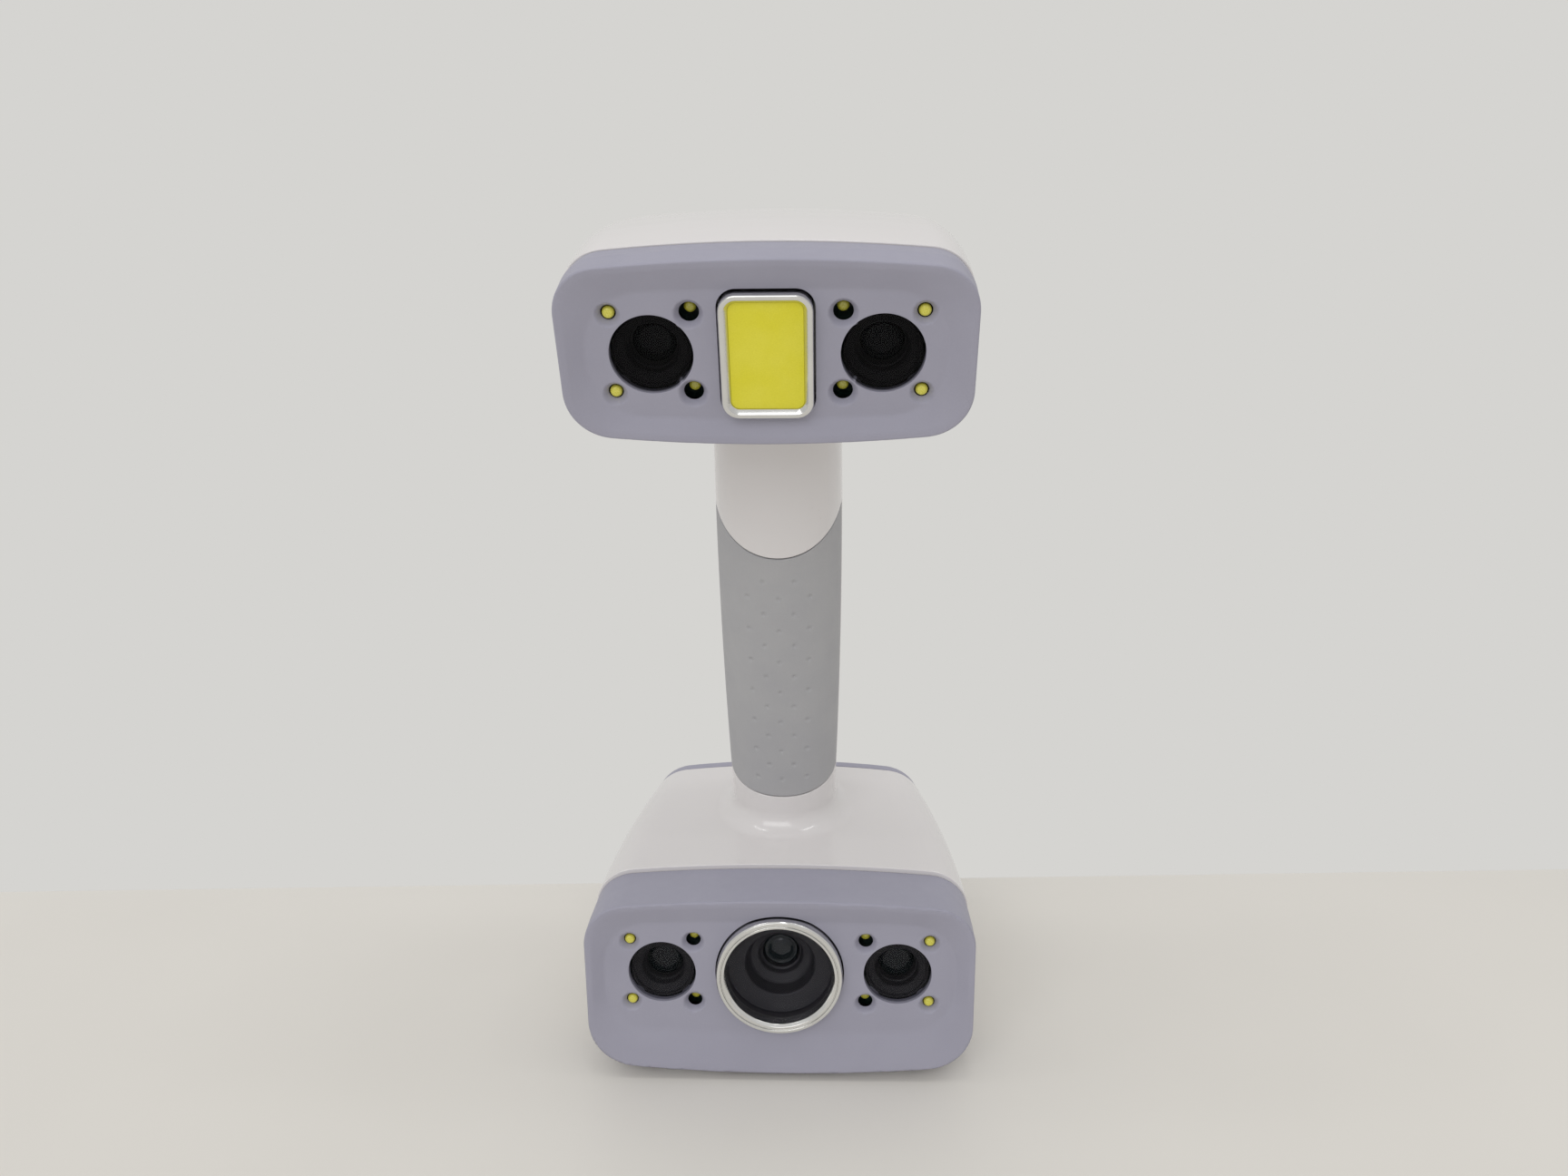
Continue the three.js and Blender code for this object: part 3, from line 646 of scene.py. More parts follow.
def grip_pad():
    dimple_radius = 0.55
    dimple_depth = 0.42
    places = dimple_places()

    def field(x, y, z):
        sunk = np.zeros_like(x)
        front = y < axis_y(z)
        for dimple_x, dimple_z in places:
            square = (x - dimple_x) ** 2 + (z - dimple_z) ** 2
            sunk = sunk + np.exp(-square / dimple_radius**2)
        return handle(x, y, z) + dimple_depth * sunk * front

    def seam(x, y, z):
        above, below = z - grip_line(GRIP_BOTTOM, x), grip_line(GRIP_TOP, x) - z
        return lowest_of(-behind_split(y, z) - SEAM, above, below)

    low = (-19, axis_y(168) - 19, 66)
    high = (19, axis_y(66) - 1, 168)
    moulded("grip_pad", "grip_rubber", field, seam, low, high, GRIP_CELL, GRIP_WALL, GRIP_EDGE)


# -------- rear covers


def rear_cover(head, openings):
    """A cap with rounded back edges. openings gives the distance to its nearest hole."""

    def field(x, y, z):
        side = outline(x, y, **head.section(-z))
        return round_common(side, -z - head.depth, head.back_edge)

    def seam(x, y, z):
        return np.minimum(-z - head.shell_end - GAP, openings(x, y))

    width = head.rim["half_width"] + 1
    low = (-width, -head.rim["bottom"] - 1, -head.depth - 1)
    high = (width, head.rim["top"] + 6, -head.shell_end + 1.5)
    name = f"{head.prefix}_rear_cover"
    moulded(name, "lavender_plastic", field, seam, low, high, COVER_CELL, WALL, COVER_EDGE, head)


def key_openings(x, y):
    distances = []
    for name, (key_x, key_y, radius) in KEYS.items():
        if name == "scan":
            radius = LIGHT_RING["outer"]
        distances.append(np.hypot(x - key_x, y - key_y) - radius - GAP)
    return lowest_of(*distances)


def lower_openings(x, y):
    distances = [np.hypot(x - SOCKET["x"], y - SOCKET["y"]) - SOCKET["outer"] - GAP]
    distances += [np.hypot(x - screw_x, y - screw_y) - SCREW_HOLE for screw_x, screw_y in SCREWS]
    for i in range(VENT["count"]):
        slot_x = x - VENT["x"] - (i - (VENT["count"] - 1) / 2) * VENT["pitch"]
        slot_y = y - VENT["y"]
        distances.append(rounded_box(slot_x, slot_y, VENT["width"], VENT["height"], VENT["width"] / 2))
    return lowest_of(*distances)


# -------- turned and flat pieces


def eased(points, radius, closed=False):
    """The line of points with each corner replaced by a short curve, at most that long each way."""
    result = []
    count = len(points)
    for i, point in enumerate(points):
        if not closed and i in (0, count - 1):
            result.append(tuple(point))
            continue
        here = Vector(point)
        before = Vector(points[i - 1]) - here
        after = Vector(points[(i + 1) % count]) - here
        start = here + before.normalized() * min(radius, before.length * 0.45)
        end = here + after.normalized() * min(radius, after.length * 0.45)
        for share in (0, 0.25, 0.5, 0.75, 1):
            result.append(tuple(start.lerp(here, share).lerp(here.lerp(end, share), share)))
    return result


def circle_loop(radius, x=0, y=0, sides=48):
    angles = [2 * math.pi * i / sides for i in range(sides)]
    return [(x + radius * math.cos(a), y + radius * math.sin(a)) for a in angles]


def skinned(built, rings, closed=False):
    """The bmesh with faces between each ring of vertices and the next one."""
    for low, high in zip(rings, rings[1:] + (rings[:1] if closed else [])):
        for i in range(len(low)):
            j = (i + 1) % len(low)
            around = list(dict.fromkeys([low[i], low[j], high[j], high[i]]))
            if len(around) > 2:
                built.faces.new(around)
    bmesh.ops.recalc_face_normals(built, faces=built.faces)
    return built


def turned(profile, sides=72, x=0, y=0, ease=0.12):
    """A bmesh of a (radius, z) profile turned about the z axis at (x, y)."""
    closed = profile[0][0] > 0
    built = bmesh.new()
    rings = []
    for radius, z in eased(profile, ease, closed):
        if radius < TOUCHING:
            rings.append([built.verts.new((x, y, z))] * sides)
        else:
            loop = circle_loop(radius, x, y, sides)
            rings.append([built.verts.new((loop_x, loop_y, z)) for loop_x, loop_y in loop])
    return skinned(built, rings, closed)


def rounded_loop(width, height, corner, x=0, y=0, steps=8):
    points = []
    for quarter in range(4):
        centre_x = x + (width / 2 - corner) * (1 if quarter in (0, 3) else -1)
        centre_y = y + (height / 2 - corner) * (1 if quarter < 2 else -1)
        for i in range(steps + 1):
            angle = math.radians(90 * (quarter + i / steps))
            points.append((centre_x + corner * math.cos(angle), centre_y + corner * math.sin(angle)))
    return points


def plate(loops, z0, z1, bevel):
    """A bmesh of a flat plate with bevelled edges. The first loop is its outline, the others holes."""
    curve = bpy.data.curves.new("plate", "CURVE")
    curve.dimensions = "2D"
    curve.fill_mode = "BOTH"
    curve.extrude = (z1 - z0) / 2 - bevel
    curve.bevel_depth = bevel
    curve.bevel_resolution = 2
    curve.offset = -bevel
    for loop in loops:
        spline = curve.splines.new("POLY")
        spline.points.add(len(loop) - 1)
        for point, (x, y) in zip(spline.points, loop):
            point.co = (x, y, 0, 1)
        spline.use_cyclic_u = True
    obj = new_object("plate", curve)
    mesh = bpy.data.meshes.new_from_object(obj.evaluated_get(bpy.context.evaluated_depsgraph_get()))
    built = bmesh.new()
    built.from_mesh(mesh)
    bpy.data.objects.remove(obj)
    bpy.data.meshes.remove(mesh)
    bmesh.ops.remove_doubles(built, verts=built.verts, dist=TOUCHING)
    bmesh.ops.translate(built, verts=built.verts, vec=(0, 0, (z0 + z1) / 2))
    bmesh.ops.recalc_face_normals(built, faces=built.faces)
    return built


def piece(node, slot, parts, axes=World, body="root", finishes=None):
    """One object from several bmeshes, each given with the place of its material in finishes."""
    mesh = bpy.data.meshes.new(node + "_look")
    whole = bmesh.new()
    for index, built in parts:
        for face in built.faces:
            face.material_index = index
        part = bpy.data.meshes.new("part")
        built.to_mesh(part)
        built.free()
        whole.from_mesh(part)
        bpy.data.meshes.remove(part)
    whole.to_mesh(mesh)
    whole.free()
    placed = axes.to_world(vertices(mesh)) * MM
    mesh.vertices.foreach_set("co", placed.ravel())
    mesh.shade_smooth()
    mesh.set_sharp_from_angle(angle=SHARP_ANGLE)
    mesh.update()
    show(new_object(node + "_look", mesh), node, slot, body, finishes)


# -------- finishes


def tint(red, green, blue):
    """A colour given as it looks on a screen, from 0 to 255, as light."""
    shares = [value / 255 for value in (red, green, blue)]
    light = [s / 12.92 if s <= 0.04045 else ((s + 0.055) / 1.055) ** 2.4 for s in shares]
    return (*light, 1)


class Finish:
    """A procedural material drawn in the piece's own coordinates. Sizes are in millimetres."""

    def __init__(self, name, **sockets):
        self.material = bpy.data.materials.new(name)
        self.material.use_nodes = True
        self.tree = self.material.node_tree
        self.shader = self.tree.nodes["Principled BSDF"]
        self.place = self.tree.nodes.new("ShaderNodeTexCoord").outputs["Object"]
        for socket, value in sockets.items():
            self.shader.inputs[socket.replace("_", " ")].default_value = value

    def link(self, output, socket):
        self.tree.links.new(output, socket)

    def noise(self, size, detail=3):
        node = self.tree.nodes.new("ShaderNodeTexNoise")
        node.inputs["Scale"].default_value = 1 / (size * MM)
        node.inputs["Detail"].default_value = detail
        self.link(self.place, node.inputs["Vector"])
        return node.outputs["Fac"]

    def cell_edges(self, size):
        node = self.tree.nodes.new("ShaderNodeTexVoronoi")
        node.feature = "DISTANCE_TO_EDGE"
        node.inputs["Scale"].default_value = 1 / (size * MM)
        self.link(self.place, node.inputs["Vector"])
        return node.outputs["Distance"]

    def between(self, value, low, high, start=0.3, end=0.7):
        node = self.tree.nodes.new("ShaderNodeMapRange")
        numbers = {"From Min": start, "From Max": end, "To Min": low, "To Max": high}
        for socket, number in numbers.items():
            node.inputs[socket].default_value = number
        self.link(value, node.inputs["Value"])
        return node.outputs["Result"]

    def blend(self, value, first, second):
        node = self.tree.nodes.new("ShaderNodeMix")
        node.data_type = "RGBA"
        sockets = [s for s in node.inputs if s.type == "RGBA"]
        for socket, colour in zip(sockets, (first, second)):
            if isinstance(colour, tuple):
                socket.default_value = colour
            else:
                self.link(colour, socket)
        self.link(value, node.inputs["Factor"])
        return next(s for s in node.outputs if s.type == "RGBA")

    def colour(self, output):
        self.link(output, self.shader.inputs["Base Color"])

    def roughness(self, value, low, high):
        self.link(self.between(value, low, high), self.shader.inputs["Roughness"])

    def bump(self, height, depth):
        node = self.tree.nodes.new("ShaderNodeBump")
        node.inputs["Distance"].default_value = depth * MM
        self.link(height, node.inputs["Height"])
        self.link(node.outputs["Normal"], self.shader.inputs["Normal"])


def lavender_plastic():
    finish = Finish("lavender_plastic", Specular_IOR_Level=0.42)
    speckle = finish.noise(0.35, 4)
    cloud = finish.noise(14, 2)
    base = finish.blend(finish.between(cloud, 0, 1), tint(158, 157, 172), tint(161, 160, 175))
    finish.colour(finish.blend(finish.between(speckle, 0, 0.12), base, tint(140, 139, 154)))
    finish.roughness(finish.noise(3, 3), 0.44, 0.54)
    finish.bump(finish.noise(0.22, 3), 0.008)
    return finish.material


def white_gloss():
    finish = Finish("white_gloss", Specular_IOR_Level=0.5, Coat_Weight=0.5, Coat_Roughness=0.04)
    cloud = finish.noise(60, 2)
    dust = finish.noise(0.6, 2)
    base = finish.blend(finish.between(cloud, 0, 1), tint(218, 215, 215), tint(221, 218, 218))
    finish.colour(finish.blend(finish.between(dust, 0, 1, 0.74, 0.8), base, tint(205, 201, 198)))
    finish.roughness(cloud, 0.13, 0.18)
    finish.bump(finish.noise(2.5, 1), 0.0012)
    return finish.material


def grip_rubber():
    finish = Finish("grip_rubber", Specular_IOR_Level=0.35)
    cloud = finish.noise(9, 3)
    base = finish.blend(finish.between(cloud, 0, 1), tint(170, 170, 173), tint(174, 174, 176))
    grain = finish.noise(0.3, 3)
    finish.colour(finish.blend(finish.between(grain, 0, 0.2), base, tint(155, 155, 158)))
    finish.roughness(finish.noise(2, 3), 0.58, 0.68)
    finish.bump(finish.noise(0.28, 3), 0.018)
    return finish.material


def metal(name, shade, dark, low, high, grain):
    finish = Finish(name, Metallic=1)
    finish.colour(finish.blend(finish.between(finish.noise(6, 3), 0, 1), shade, dark))
    finish.roughness(finish.noise(4, 2), low, high)
    finish.bump(finish.noise(grain, 2), 0.0003)
    return finish.material


def yellow_phosphor():
    finish = Finish("yellow_phosphor", Specular_IOR_Level=0.3)
    grain = finish.noise(0.25, 4)
    cloud = finish.noise(6, 2)
    base = finish.blend(finish.between(cloud, 0, 1), tint(228, 220, 58), tint(232, 224, 74))
    finish.colour(finish.blend(finish.between(grain, 0, 0.35), base, tint(206, 198, 46)))
    finish.roughness(grain, 0.5, 0.65)
    finish.bump(grain, 0.02)
    return finish.material


def grained(name, size, first, second, low, high, **sockets):
    """A finish whose colour, gloss and relief all follow one grain."""
    finish = Finish(name, **sockets)
    grain = finish.noise(size, 3)
    finish.colour(finish.blend(finish.between(grain, 0, 1), first, second))
    finish.roughness(grain, low, high)
    finish.bump(grain, 0.01)
    return finish.material


def yellow_led():
    shades = tint(206, 200, 62), tint(220, 214, 92)
    sockets = dict(Coat_Weight=0.6, Coat_Roughness=0.05, Specular_IOR_Level=0.5)
    return grained("yellow_led", 0.3, *shades, 0.2, 0.32, **sockets)


def black_plastic():
    finish = Finish("black_plastic", Specular_IOR_Level=0.4)
    grain = finish.noise(0.3, 3)
    finish.colour(finish.blend(finish.between(grain, 0, 1), tint(38, 37, 41), tint(49, 48, 52)))
    finish.roughness(finish.noise(2, 3), 0.34, 0.48)
    finish.bump(grain, 0.012)
    return finish.material


def lens_coating():
    finish = Finish("lens_coating", Coat_Weight=0.3, Coat_Roughness=0.05, Specular_IOR_Level=0.4)
    cloud = finish.noise(4, 2)
    finish.colour(finish.blend(finish.between(cloud, 0, 1), tint(13, 23, 26), tint(17, 29, 32)))
    finish.roughness(cloud, 0.08, 0.14)
    return finish.material


def tinted_glass(name, passed, mirrored):
    """Glass that dims what is behind it and mirrors what is in front."""
    finish = Finish(name, Specular_IOR_Level=0.5)
    smear = finish.noise(7, 4)
    finish.colour(finish.blend(finish.between(smear, 0, 1), tint(9, 10, 12), tint(14, 15, 18)))
    finish.roughness(smear, 0.01, 0.03)
    through = finish.tree.nodes.new("ShaderNodeBsdfTransparent")
    through.inputs["Color"].default_value = (passed, passed, passed * 1.02, 1)
    mix = finish.tree.nodes.new("ShaderNodeMixShader")
    mix.inputs["Fac"].default_value = 1 - mirrored
    output = next(n for n in finish.tree.nodes if n.type == "OUTPUT_MATERIAL")
    finish.link(finish.shader.outputs["BSDF"], mix.inputs[1])
    finish.link(through.outputs["BSDF"], mix.inputs[2])
    finish.link(mix.outputs["Shader"], output.inputs["Surface"])
    return finish.material


def circuit_board():
    finish = Finish("circuit_board", Specular_IOR_Level=0.45)
    tracks = finish.between(finish.cell_edges(2.2), 1, 0, 0.02, 0.06)
    base = finish.blend(finish.noise(5, 2), tint(13, 27, 24), tint(16, 32, 28))
    finish.colour(finish.blend(tracks, base, tint(26, 46, 40)))
    finish.roughness(finish.noise(1.5, 3), 0.3, 0.45)
    finish.bump(tracks, 0.03)
    return finish.material


def light_ring():
    shades = tint(214, 219, 222), tint(224, 228, 230)
    sockets = dict(Specular_IOR_Level=0.45, Subsurface_Weight=0.2)
    return grained("light_ring", 0.4, *shades, 0.34, 0.44, **sockets)


MATERIALS = {
    "lavender_plastic": lavender_plastic(),
    "white_gloss": white_gloss(),
    "grip_rubber": grip_rubber(),
    "satin_silver": metal("satin_silver", tint(222, 222, 220), tint(216, 216, 214), 0.13, 0.18, 0.4),
    "bare_aluminium": metal("bare_aluminium", tint(176, 177, 180), tint(158, 160, 163), 0.36, 0.5, 0.4),
    "steel": metal("steel", tint(160, 161, 163), tint(140, 141, 144), 0.26, 0.4, 0.25),
    "yellow_phosphor": yellow_phosphor(),
    "yellow_led": yellow_led(),
    "black_plastic": black_plastic(),
    "lens_coating": lens_coating(),
    "dark_glass": tinted_glass("dark_glass", 0.84, 0.1),
    "smoked_glass": tinted_glass("smoked_glass", 0.58, 0.1),
    "clear_glass": tinted_glass("clear_glass", 0.95, 0.06),
    "circuit_board": circuit_board(),
    "light_ring": light_ring(),
}


def dress_frame():
    """Gives each CAD node the finish that its own material names."""
    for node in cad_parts.values():
        for slot in node.material_slots:
            slot.material = MATERIALS[slot.material.name]


# -------- cameras and LEDs


def camera_window(head, side, name):
    profile = [(0, -1.6), (WINDOW_RADIUS, -1.6), (WINDOW_RADIUS, -0.6), (0, -0.6)]
    pane = turned(profile, 96, side * head.camera_x, ease=0.2)
    node = f"{head.prefix}_{name}_camera_window"
    piece(node, "dark_glass", [(0, pane)], head, finishes=(head.window_glass,))


def camera_barrel(head, side, name):
    """A mouth that narrows in steps, with a coated lens at its end."""
    x = side * head.camera_x
    tube = [
        (0, -14), (8.8, -14), (8.8, -1.9), (8.3, -1.9), (8.0, -2.7), (6.3, -3.3), (6.0, -3.6),
        (5.75, -5.4), (5.45, -5.6), (5.2, -6.6), (5.2, -8.6), (0, -8.6),
    ]
    lens = [(0, -8.5), (5, -8.5), (5, -7.3), (3.9, -6.7), (2.6, -6.35), (1.3, -6.15), (0, -6.1)]
    parts = [(0, turned(tube, 96, x, ease=0.15)), (1, turned(lens, 72, x, ease=0.3))]
    node = f"{head.prefix}_{name}_camera_barrel"
    piece(node, "black_plastic", parts, head, finishes=("black_plastic", "lens_coating"))


def led_board(head, side, name):
    x = side * head.camera_x
    loops = [rounded_loop(25, 27, 3, x), circle_loop(9.3, x)]
    parts = [(0, plate(loops, LED_BOARD["back"], LED_BOARD["front"], 0.12))]
    for led_x, led_y, hole in led_places(head):
        if led_x * side < 0:
            continue
        front = LED_FRONT[hole]
        dome = [
            (0, -5.9), (LED_RADIUS, -5.9), (LED_RADIUS, front - 0.7),
            (LED_RADIUS * 0.72, front - 0.15), (0, front),
        ]
        parts.append((1, turned(dome, 32, led_x, led_y, ease=0.35)))
    node = f"{head.prefix}_{name}_led_board"
    piece(node, "circuit_board", parts, head, finishes=("circuit_board", "yellow_led"))


def cameras(head):
    for side, name in ((-1, "left"), (1, "right")):
        camera_window(head, side, name)
        camera_barrel(head, side, name)
        led_board(head, side, name)


# -------- lamp and projector


def swept_frame(width, height, corner, profile):
    """A bmesh of a closed (inset, z) profile carried round a rounded rectangle."""
    built = bmesh.new()
    rings = []
    for inset, z in eased(profile, 0.2, closed=True):
        loop = rounded_loop(width - 2 * inset, height - 2 * inset, max(corner - inset, 0.4), steps=10)
        rings.append([built.verts.new((x, y, z)) for x, y in loop])
    return skinned(built, rings, closed=True)


def lamp():
    profile = [(0, -4.6), (0, 2.2), (0.3, 2.55), (1.15, 2.55), (2.1, 1.5), (2.1, -4.6)]
    frame_mesh = swept_frame(LAMP["width"], LAMP["height"], LAMP["corner"], profile)
    piece("lamp_frame", "satin_silver", [(0, frame_mesh)], UPPER)
    panel = plate([rounded_loop(**LAMP_PANEL)], -0.2, 1.35, 0.05)
    piece("lamp_panel", "yellow_phosphor", [(0, panel)], UPPER)


def projector():
    ring = [
        (16.3, -0.6), (16.3, -4), (17.6, -4), (17.6, 2.5), (17.25, 2.95), (16.5, 2.95), (16.4, 2.5),
        (16.15, 2.5), (16.05, 2.95), (15.45, 2.9), (14.8, 2.1), (14.8, -0.6),
    ]
    piece("projector_ring", "satin_silver", [(0, turned(ring, 128, ease=0.1))], LOWER)
    pane = turned([(0, -3.3), (14.5, -3.3), (14.5, -2.3), (0, -2.3)], 112, ease=0.25)
    piece("projector_window", "dark_glass", [(0, pane)], LOWER, finishes=("clear_glass",))
    baffle = [
        (14.75, -0.9), (14.75, -3.6), (14.2, -3.75), (10.1, -4.6), (9.8, -4.9), (9.5, -6.6),
        (8.9, -8.5), (8.4, -9.0), (6.5, -9.6), (6.2, -10.0), (5.9, -11.2), (5.3, -11.6), (5.3, -24),
        (16, -24), (16, -0.9),
    ]
    piece("projector_baffle", "black_plastic", [(0, turned(baffle, 128, ease=0.18))], LOWER)
    lens = [
        (0, -36), (7.5, -36), (7.5, -24.3), (4.9, -24.3), (4.9, -12.5), (4.6, -12.1), (4.0, -12.1),
        (3.8, -12.5), (2.8, -12.0), (1.5, -11.65), (0, -11.5),
    ]
    crown = turned(lens, 72, ease=0.3)
    piece("projector_lens", "dark_glass", [(0, crown)], LOWER, finishes=("lens_coating",))


# -------- keys, socket, screws, fan, feet


def key(name):
    x, y, radius = KEYS[name]
    back = -UPPER.depth
    front = back + WALL + 1.2
    cap = [
        (0, front), (radius, front), (radius, back - 0.6), (radius * 0.93, back - 1.2),
        (radius * 0.75, back - 1.42), (radius * 0.4, back - 1.2), (0, back - 1.1),
    ]
    node = f"{name}_button"
    piece(node, "white_gloss", [(0, turned(cap, 96, x, y, ease=0.4))], UPPER, body=node)


def status_light_ring():
    x, y, _ = KEYS["scan"]
    back = -UPPER.depth
    inner, outer = LIGHT_RING["inner"], LIGHT_RING["outer"]
    profile = [(inner, back - 0.4), (outer, back - 0.4), (outer, back + 2.8), (inner, back + 2.8)]
    piece("status_light_ring", "light_ring", [(0, turned(profile, 96, x, y, ease=0.3))], UPPER)


def cable_socket():
    """A ringed inlet with six contact pins on its floor."""
    back = -LOWER.depth
    bore, outer = SOCKET["bore"], SOCKET["outer"]
    x, y = SOCKET["x"], SOCKET["y"]
    floor = back + 7.5
    body = [
        (0, floor), (bore, floor), (bore, back + 1.2), (bore + 0.5, back + 0.9),
        (bore + 0.7, back - 0.2), (bore + 1.1, back - 0.6), (outer, back - 0.6), (outer, back + 9),
        (0, back + 9),
    ]
    parts = [(0, turned(body, 72, x, y, ease=0.2))]
    pins, pin_circle = 6, 2.5
    for i in range(pins):
        angle = math.radians(360 / pins * i)
        pin = [
            (0, floor - 0.05), (0.42, floor - 0.05), (0.42, back + 3), (0.2, back + 2.5),
            (0, back + 2.4),
        ]
        pin_x, pin_y = x + pin_circle * math.cos(angle), y + pin_circle * math.sin(angle)
        parts.append((1, turned(pin, 16, pin_x, pin_y, ease=0.12)))
    piece("cable_socket", "black_plastic", parts, LOWER, finishes=("black_plastic", "steel"))


def cross_loop(reach, half, x, y):
    """The outline of a screw's cross recess."""
    points = []
    for quarter in range(4):
        cosine, sine = math.cos(math.pi / 2 * quarter), math.sin(math.pi / 2 * quarter)
        for px, py in ((reach, -half), (reach, half), (half, half)):
            points.append((x + px * cosine - py * sine, y + px * sine + py * cosine))
    return points


def cover_screw(number, x, y):
    head = -LOWER.depth + 0.2
    cross = cross_loop(SCREW_HEAD["cross_reach"], SCREW_HEAD["cross_half"], x, y)
    rim = circle_loop(SCREW_HEAD["radius"], x, y)
    cap = plate([rim, cross], head, head + SCREW_HEAD["thickness"], 0.18)
    shank = [
        (0, head + 0.82), (2.5, head + 0.82), (1.4, head + 1.6), (1.4, head + 8), (0, head + 8.6),
    ]
    parts = [(0, cap), (0, turned(shank, 32, x, y))]
    piece(f"cover_screw_{number}", "steel", parts, LOWER)


FAN = dict(half=16, bore=14.6, back=-76, front=-68.3, x=6, y=-3, blades=7)
BLADE = dict(root=5.4, reach=8.4, wide=0.72, narrowing=0.1, sweep=0.25, rise=4.2, cup=0.36)


def fan_blade(index):
    """A bmesh of one thin blade, pitched and swept, that grows wider away from the hub."""
    along, over = 8, 6
    thickness = 0.8
    middle = (FAN["back"] + FAN["front"] - 1.3) / 2
    built = bmesh.new()
    sheets = []
    for lift in (-thickness / 2, thickness / 2):
        rows = []
        for i in range(along + 1):
            share = i / along
            radius = BLADE["root"] + share * BLADE["reach"]
            row = []
            for j in range(over + 1):
                chord = j / over - 0.5
                wide = BLADE["wide"] - BLADE["narrowing"] * share
                angle = 2 * math.pi * index / FAN["blades"] + BLADE["sweep"] * share + chord * wide
                z = middle + BLADE["rise"] * chord - BLADE["cup"] * (chord * 2) ** 2 + lift
                place = (FAN["x"] + radius * math.cos(angle), FAN["y"] + radius * math.sin(angle), z)
                row.append(built.verts.new(place))
            rows.append(row)
        sheets.append(rows)
    for rows in sheets:
        for a, b in zip(rows, rows[1:]):
            for j in range(over):
                built.faces.new([a[j], b[j], b[j + 1], a[j + 1]])
    rims = []
    for rows in sheets:
        far_side = [row[-1] for row in rows[1:]]
        near_side = [row[0] for row in rows[-2:0:-1]]
        rims.append(rows[0] + far_side + rows[-1][-2::-1] + near_side)
    return skinned(built, rims)


def fan():
    x, y = FAN["x"], FAN["y"]
    bolt = FAN["half"] - 3
    holes = [circle_loop(1.7, x + sx * bolt, y + sy * bolt, 20) for sx in (-1, 1) for sy in (-1, 1)]
    side = 2 * FAN["half"]
    loops = [rounded_loop(side, side, 2.5, x, y), circle_loop(FAN["bore"], x, y, 96), *holes]
    parts = [(0, plate(loops, FAN["back"], FAN["front"], 0.35))]
    parts.append((0, plate([circle_loop(5.5, x, y)], FAN["front"] - 1.4, FAN["front"], 0.3)))
    for angle in (45, 135):
        bar = rounded_loop(2 * FAN["bore"] + 1, 2.4, 0.6)
        arm = plate([bar], FAN["front"] - 1.35, FAN["front"] - 0.05, 0.2)
        bmesh.ops.rotate(arm, verts=arm.verts, matrix=Matrix.Rotation(math.radians(angle), 3, "Z"))
        bmesh.ops.translate(arm, verts=arm.verts, vec=(x, y, 0))
        parts.append((0, arm))
    piece("fan_frame", "black_plastic", parts, LOWER)
    top = FAN["front"] - 1.9
    bottom = FAN["back"] + 0.6
    hub = [(0, bottom), (5.2, bottom), (5.8, bottom + 0.7), (5.8, top), (0, top)]
    parts = [(0, turned(hub, 48, x, y, ease=0.4))]
    parts += [(0, fan_blade(i)) for i in range(FAN["blades"])]
    piece("fan_rotor", "black_plastic", parts, LOWER, body="fan_rotor")


def feet():
    for row in ("front", "rear"):
        for side in ("left", "right"):
            node = f"{row}_{side}_foot"
            low, high = (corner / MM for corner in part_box(node))
            x, y = (low.x + high.x) / 2, (low.y + high.y) / 2
            loop = rounded_loop(high.x - low.x, high.y - low.y, (high.y - low.y) / 2 - 0.01, x, y)
            piece(node, "grip_rubber", [(0, plate([loop], low.z, high.z, 0.4))])


# -------- the object

dress_frame()
bezel(LOWER, lambda x, y: np.hypot(x, y) - PROJECTOR_RADIUS - GAP)
bezel(UPPER, lambda x, y: rounded_box(x, y, **LAMP_OPENING))
lower_shell()
upper_shell()
handle_rear_shell()
grip_pad()
rear_cover(UPPER, key_openings)
rear_cover(LOWER, lower_openings)
cameras(LOWER)
cameras(UPPER)
lamp()
projector()
for key_name in KEYS:
    key(key_name)
status_light_ring()
cable_socket()
for screw_number, (screw_x, screw_y) in enumerate(SCREWS, 1):
    cover_screw(screw_number, screw_x, screw_y)
fan()
feet()

# -------- floor, light and camera

WALL_TONE = tint(213, 212, 209)
ROOM_TONE = tint(208, 207, 206)
CEILING_TONE = (0.74, 0.735, 0.73, 1)
WALL_Y = 72.4  # the table ends at a wall this far behind the object's middle
WALL_SKEW = 0.041  # and the wall runs away a little to the right


def wall_y(x):
    return WALL_Y + WALL_SKEW * x


def floor():
    finish = Finish("table_top", Specular_IOR_Level=0.3)
    cloud = finish.noise(160, 3)
    finish.colour(finish.blend(finish.between(cloud, 0, 1), tint(219, 216, 210), tint(223, 220, 214)))
    finish.roughness(finish.noise(30, 3), 0.42, 0.55)
    finish.bump(finish.noise(0.8, 2), 0.01)
    reach = 3000
    front = [(-reach, -reach, 0), (reach, -reach, 0)]
    back = [(x, wall_y(x), 0) for x in (reach, -reach)]
    mesh = bpy.data.meshes.new("table")
    mesh.from_pydata(np.array(front + back) * MM, [], [(0, 1, 2, 3)])
    table = new_object("table", mesh)
    mesh.materials.append(finish.material)


def area_light(name, place, target, size, watts):
    data = bpy.data.lights.new(name, "AREA")
    data.shape = "RECTANGLE"
    data.size, data.size_y = size
    data.energy = watts
    lamp_object = new_object(name, data)
    aim = Vector(target) - Vector(place)
    lamp_object.location = place
    lamp_object.rotation_euler = aim.to_track_quat("-Z", "Y").to_euler()


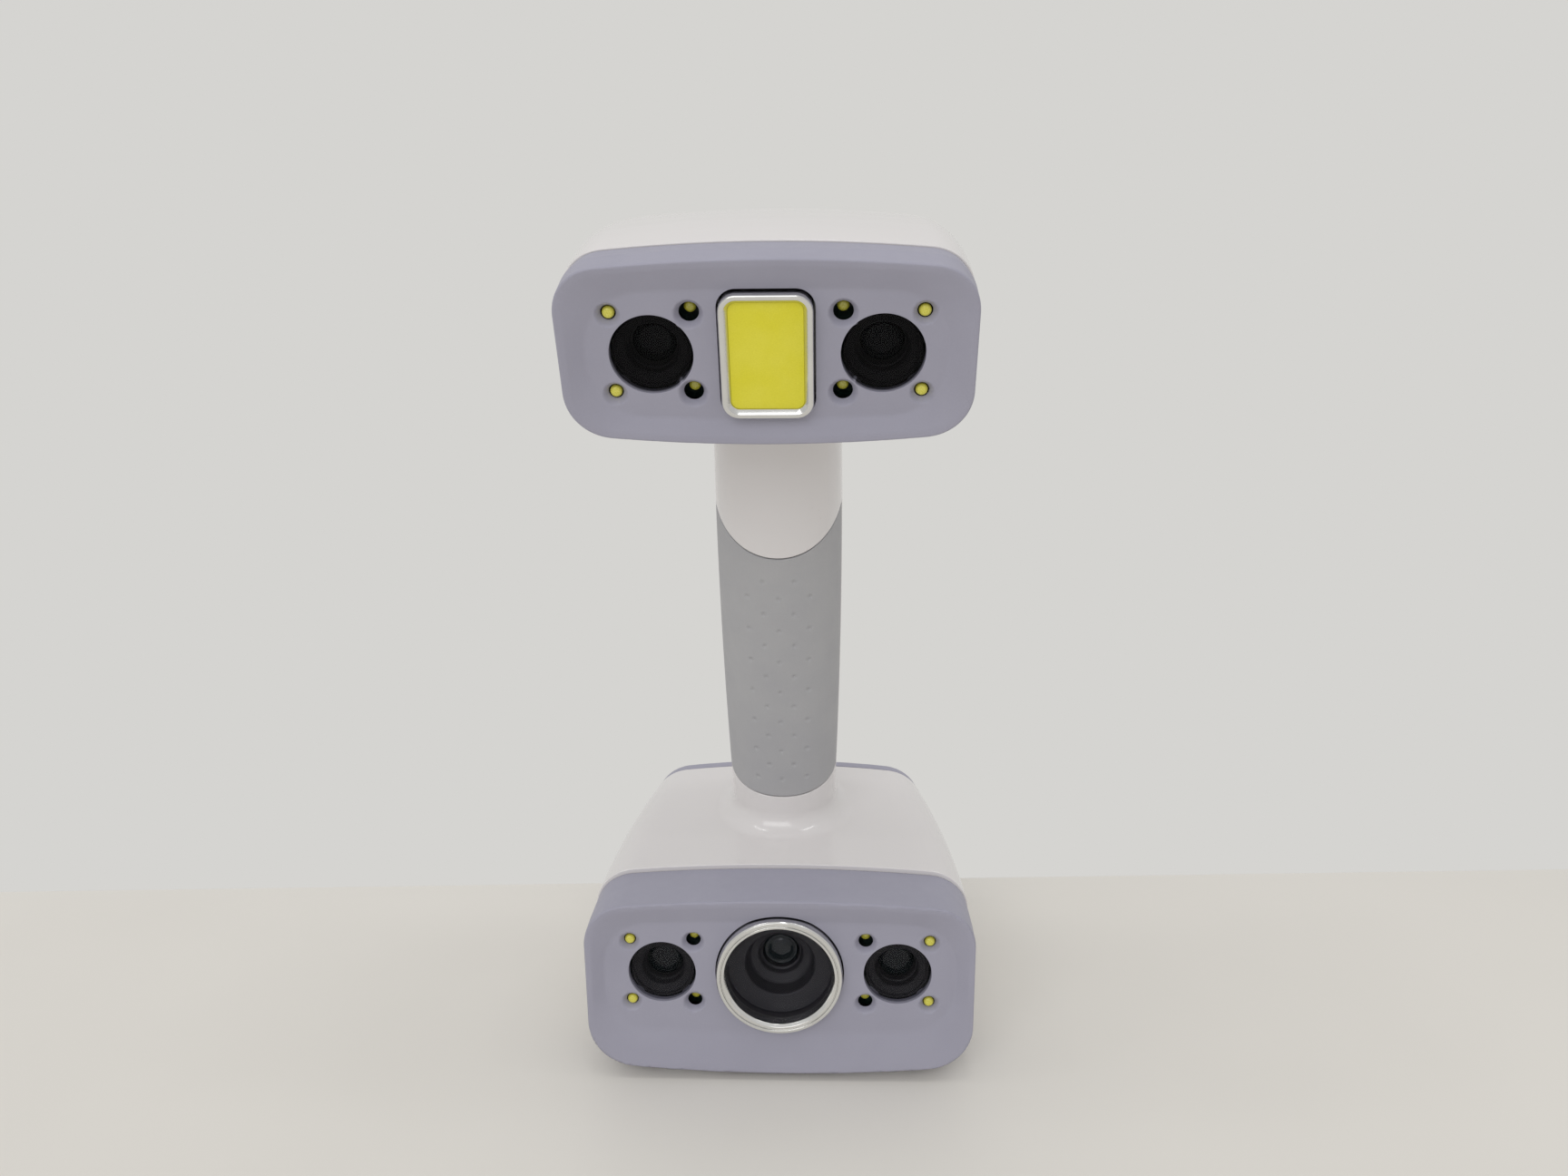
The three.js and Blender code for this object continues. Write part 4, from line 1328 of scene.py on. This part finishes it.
def room():
    """A white wall behind, a dimmer room in front and a bright ceiling above."""
    world = bpy.data.worlds.new("room")
    world.use_nodes = True
    nodes, links = world.node_tree.nodes, world.node_tree.links
    direction = nodes.new("ShaderNodeSeparateXYZ")
    links.new(nodes.new("ShaderNodeTexCoord").outputs["Generated"], direction.inputs["Vector"])
    tone = None
    steps = (("Y", -0.5, 0.1, ROOM_TONE, WALL_TONE), ("Z", 0.45, 0.95, None, CEILING_TONE))
    for axis, start, end, first, second in steps:
        share = nodes.new("ShaderNodeMapRange")
        share.interpolation_type = "SMOOTHSTEP"
        share.inputs["From Min"].default_value = start
        share.inputs["From Max"].default_value = end
        links.new(direction.outputs[axis], share.inputs["Value"])
        mix = nodes.new("ShaderNodeMix")
        mix.data_type = "RGBA"
        colours = [socket for socket in mix.inputs if socket.type == "RGBA"]
        if first is None:
            links.new(tone, colours[0])
        else:
            colours[0].default_value = first
        colours[1].default_value = second
        links.new(share.outputs["Result"], mix.inputs["Factor"])
        tone = next(socket for socket in mix.outputs if socket.type == "RGBA")
    links.new(tone, nodes["Background"].inputs["Color"])
    bpy.context.scene.world = world


def lights():
    for x in (-0.85, 0.05, 0.85):
        area_light("ceiling_strip", (x, -0.15, 1.8), (0, 0, 0.1), (0.12, 0.7), 1.6)
    area_light("front_window", (-0.5, -1.7, 1.3), (0, 0, 0.1), (1.6, 1.2), 11)


def camera():
    """Where the picture was taken from: above the object, a little to the right, looking down."""
    place = Vector((0.01332, -0.32982, 0.24861))
    down, roll, yaw = 0.3270, -0.0118, -0.0360
    turn = Matrix.Rotation(-yaw, 4, "Z")
    turn = turn @ Matrix.Rotation(math.pi / 2 - down, 4, "X")
    turn = turn @ Matrix.Rotation(roll, 4, "Z")
    data = bpy.data.cameras.new("camera")
    data.sensor_width = 36
    data.lens = 29.1667
    data.clip_start = 0.01
    obj = new_object("camera", data)
    obj.matrix_world = Matrix.Translation(place) @ turn
    bpy.context.scene.camera = obj


floor()
room()
lights()
camera()
bpy.context.scene.view_settings.view_transform = "Standard"
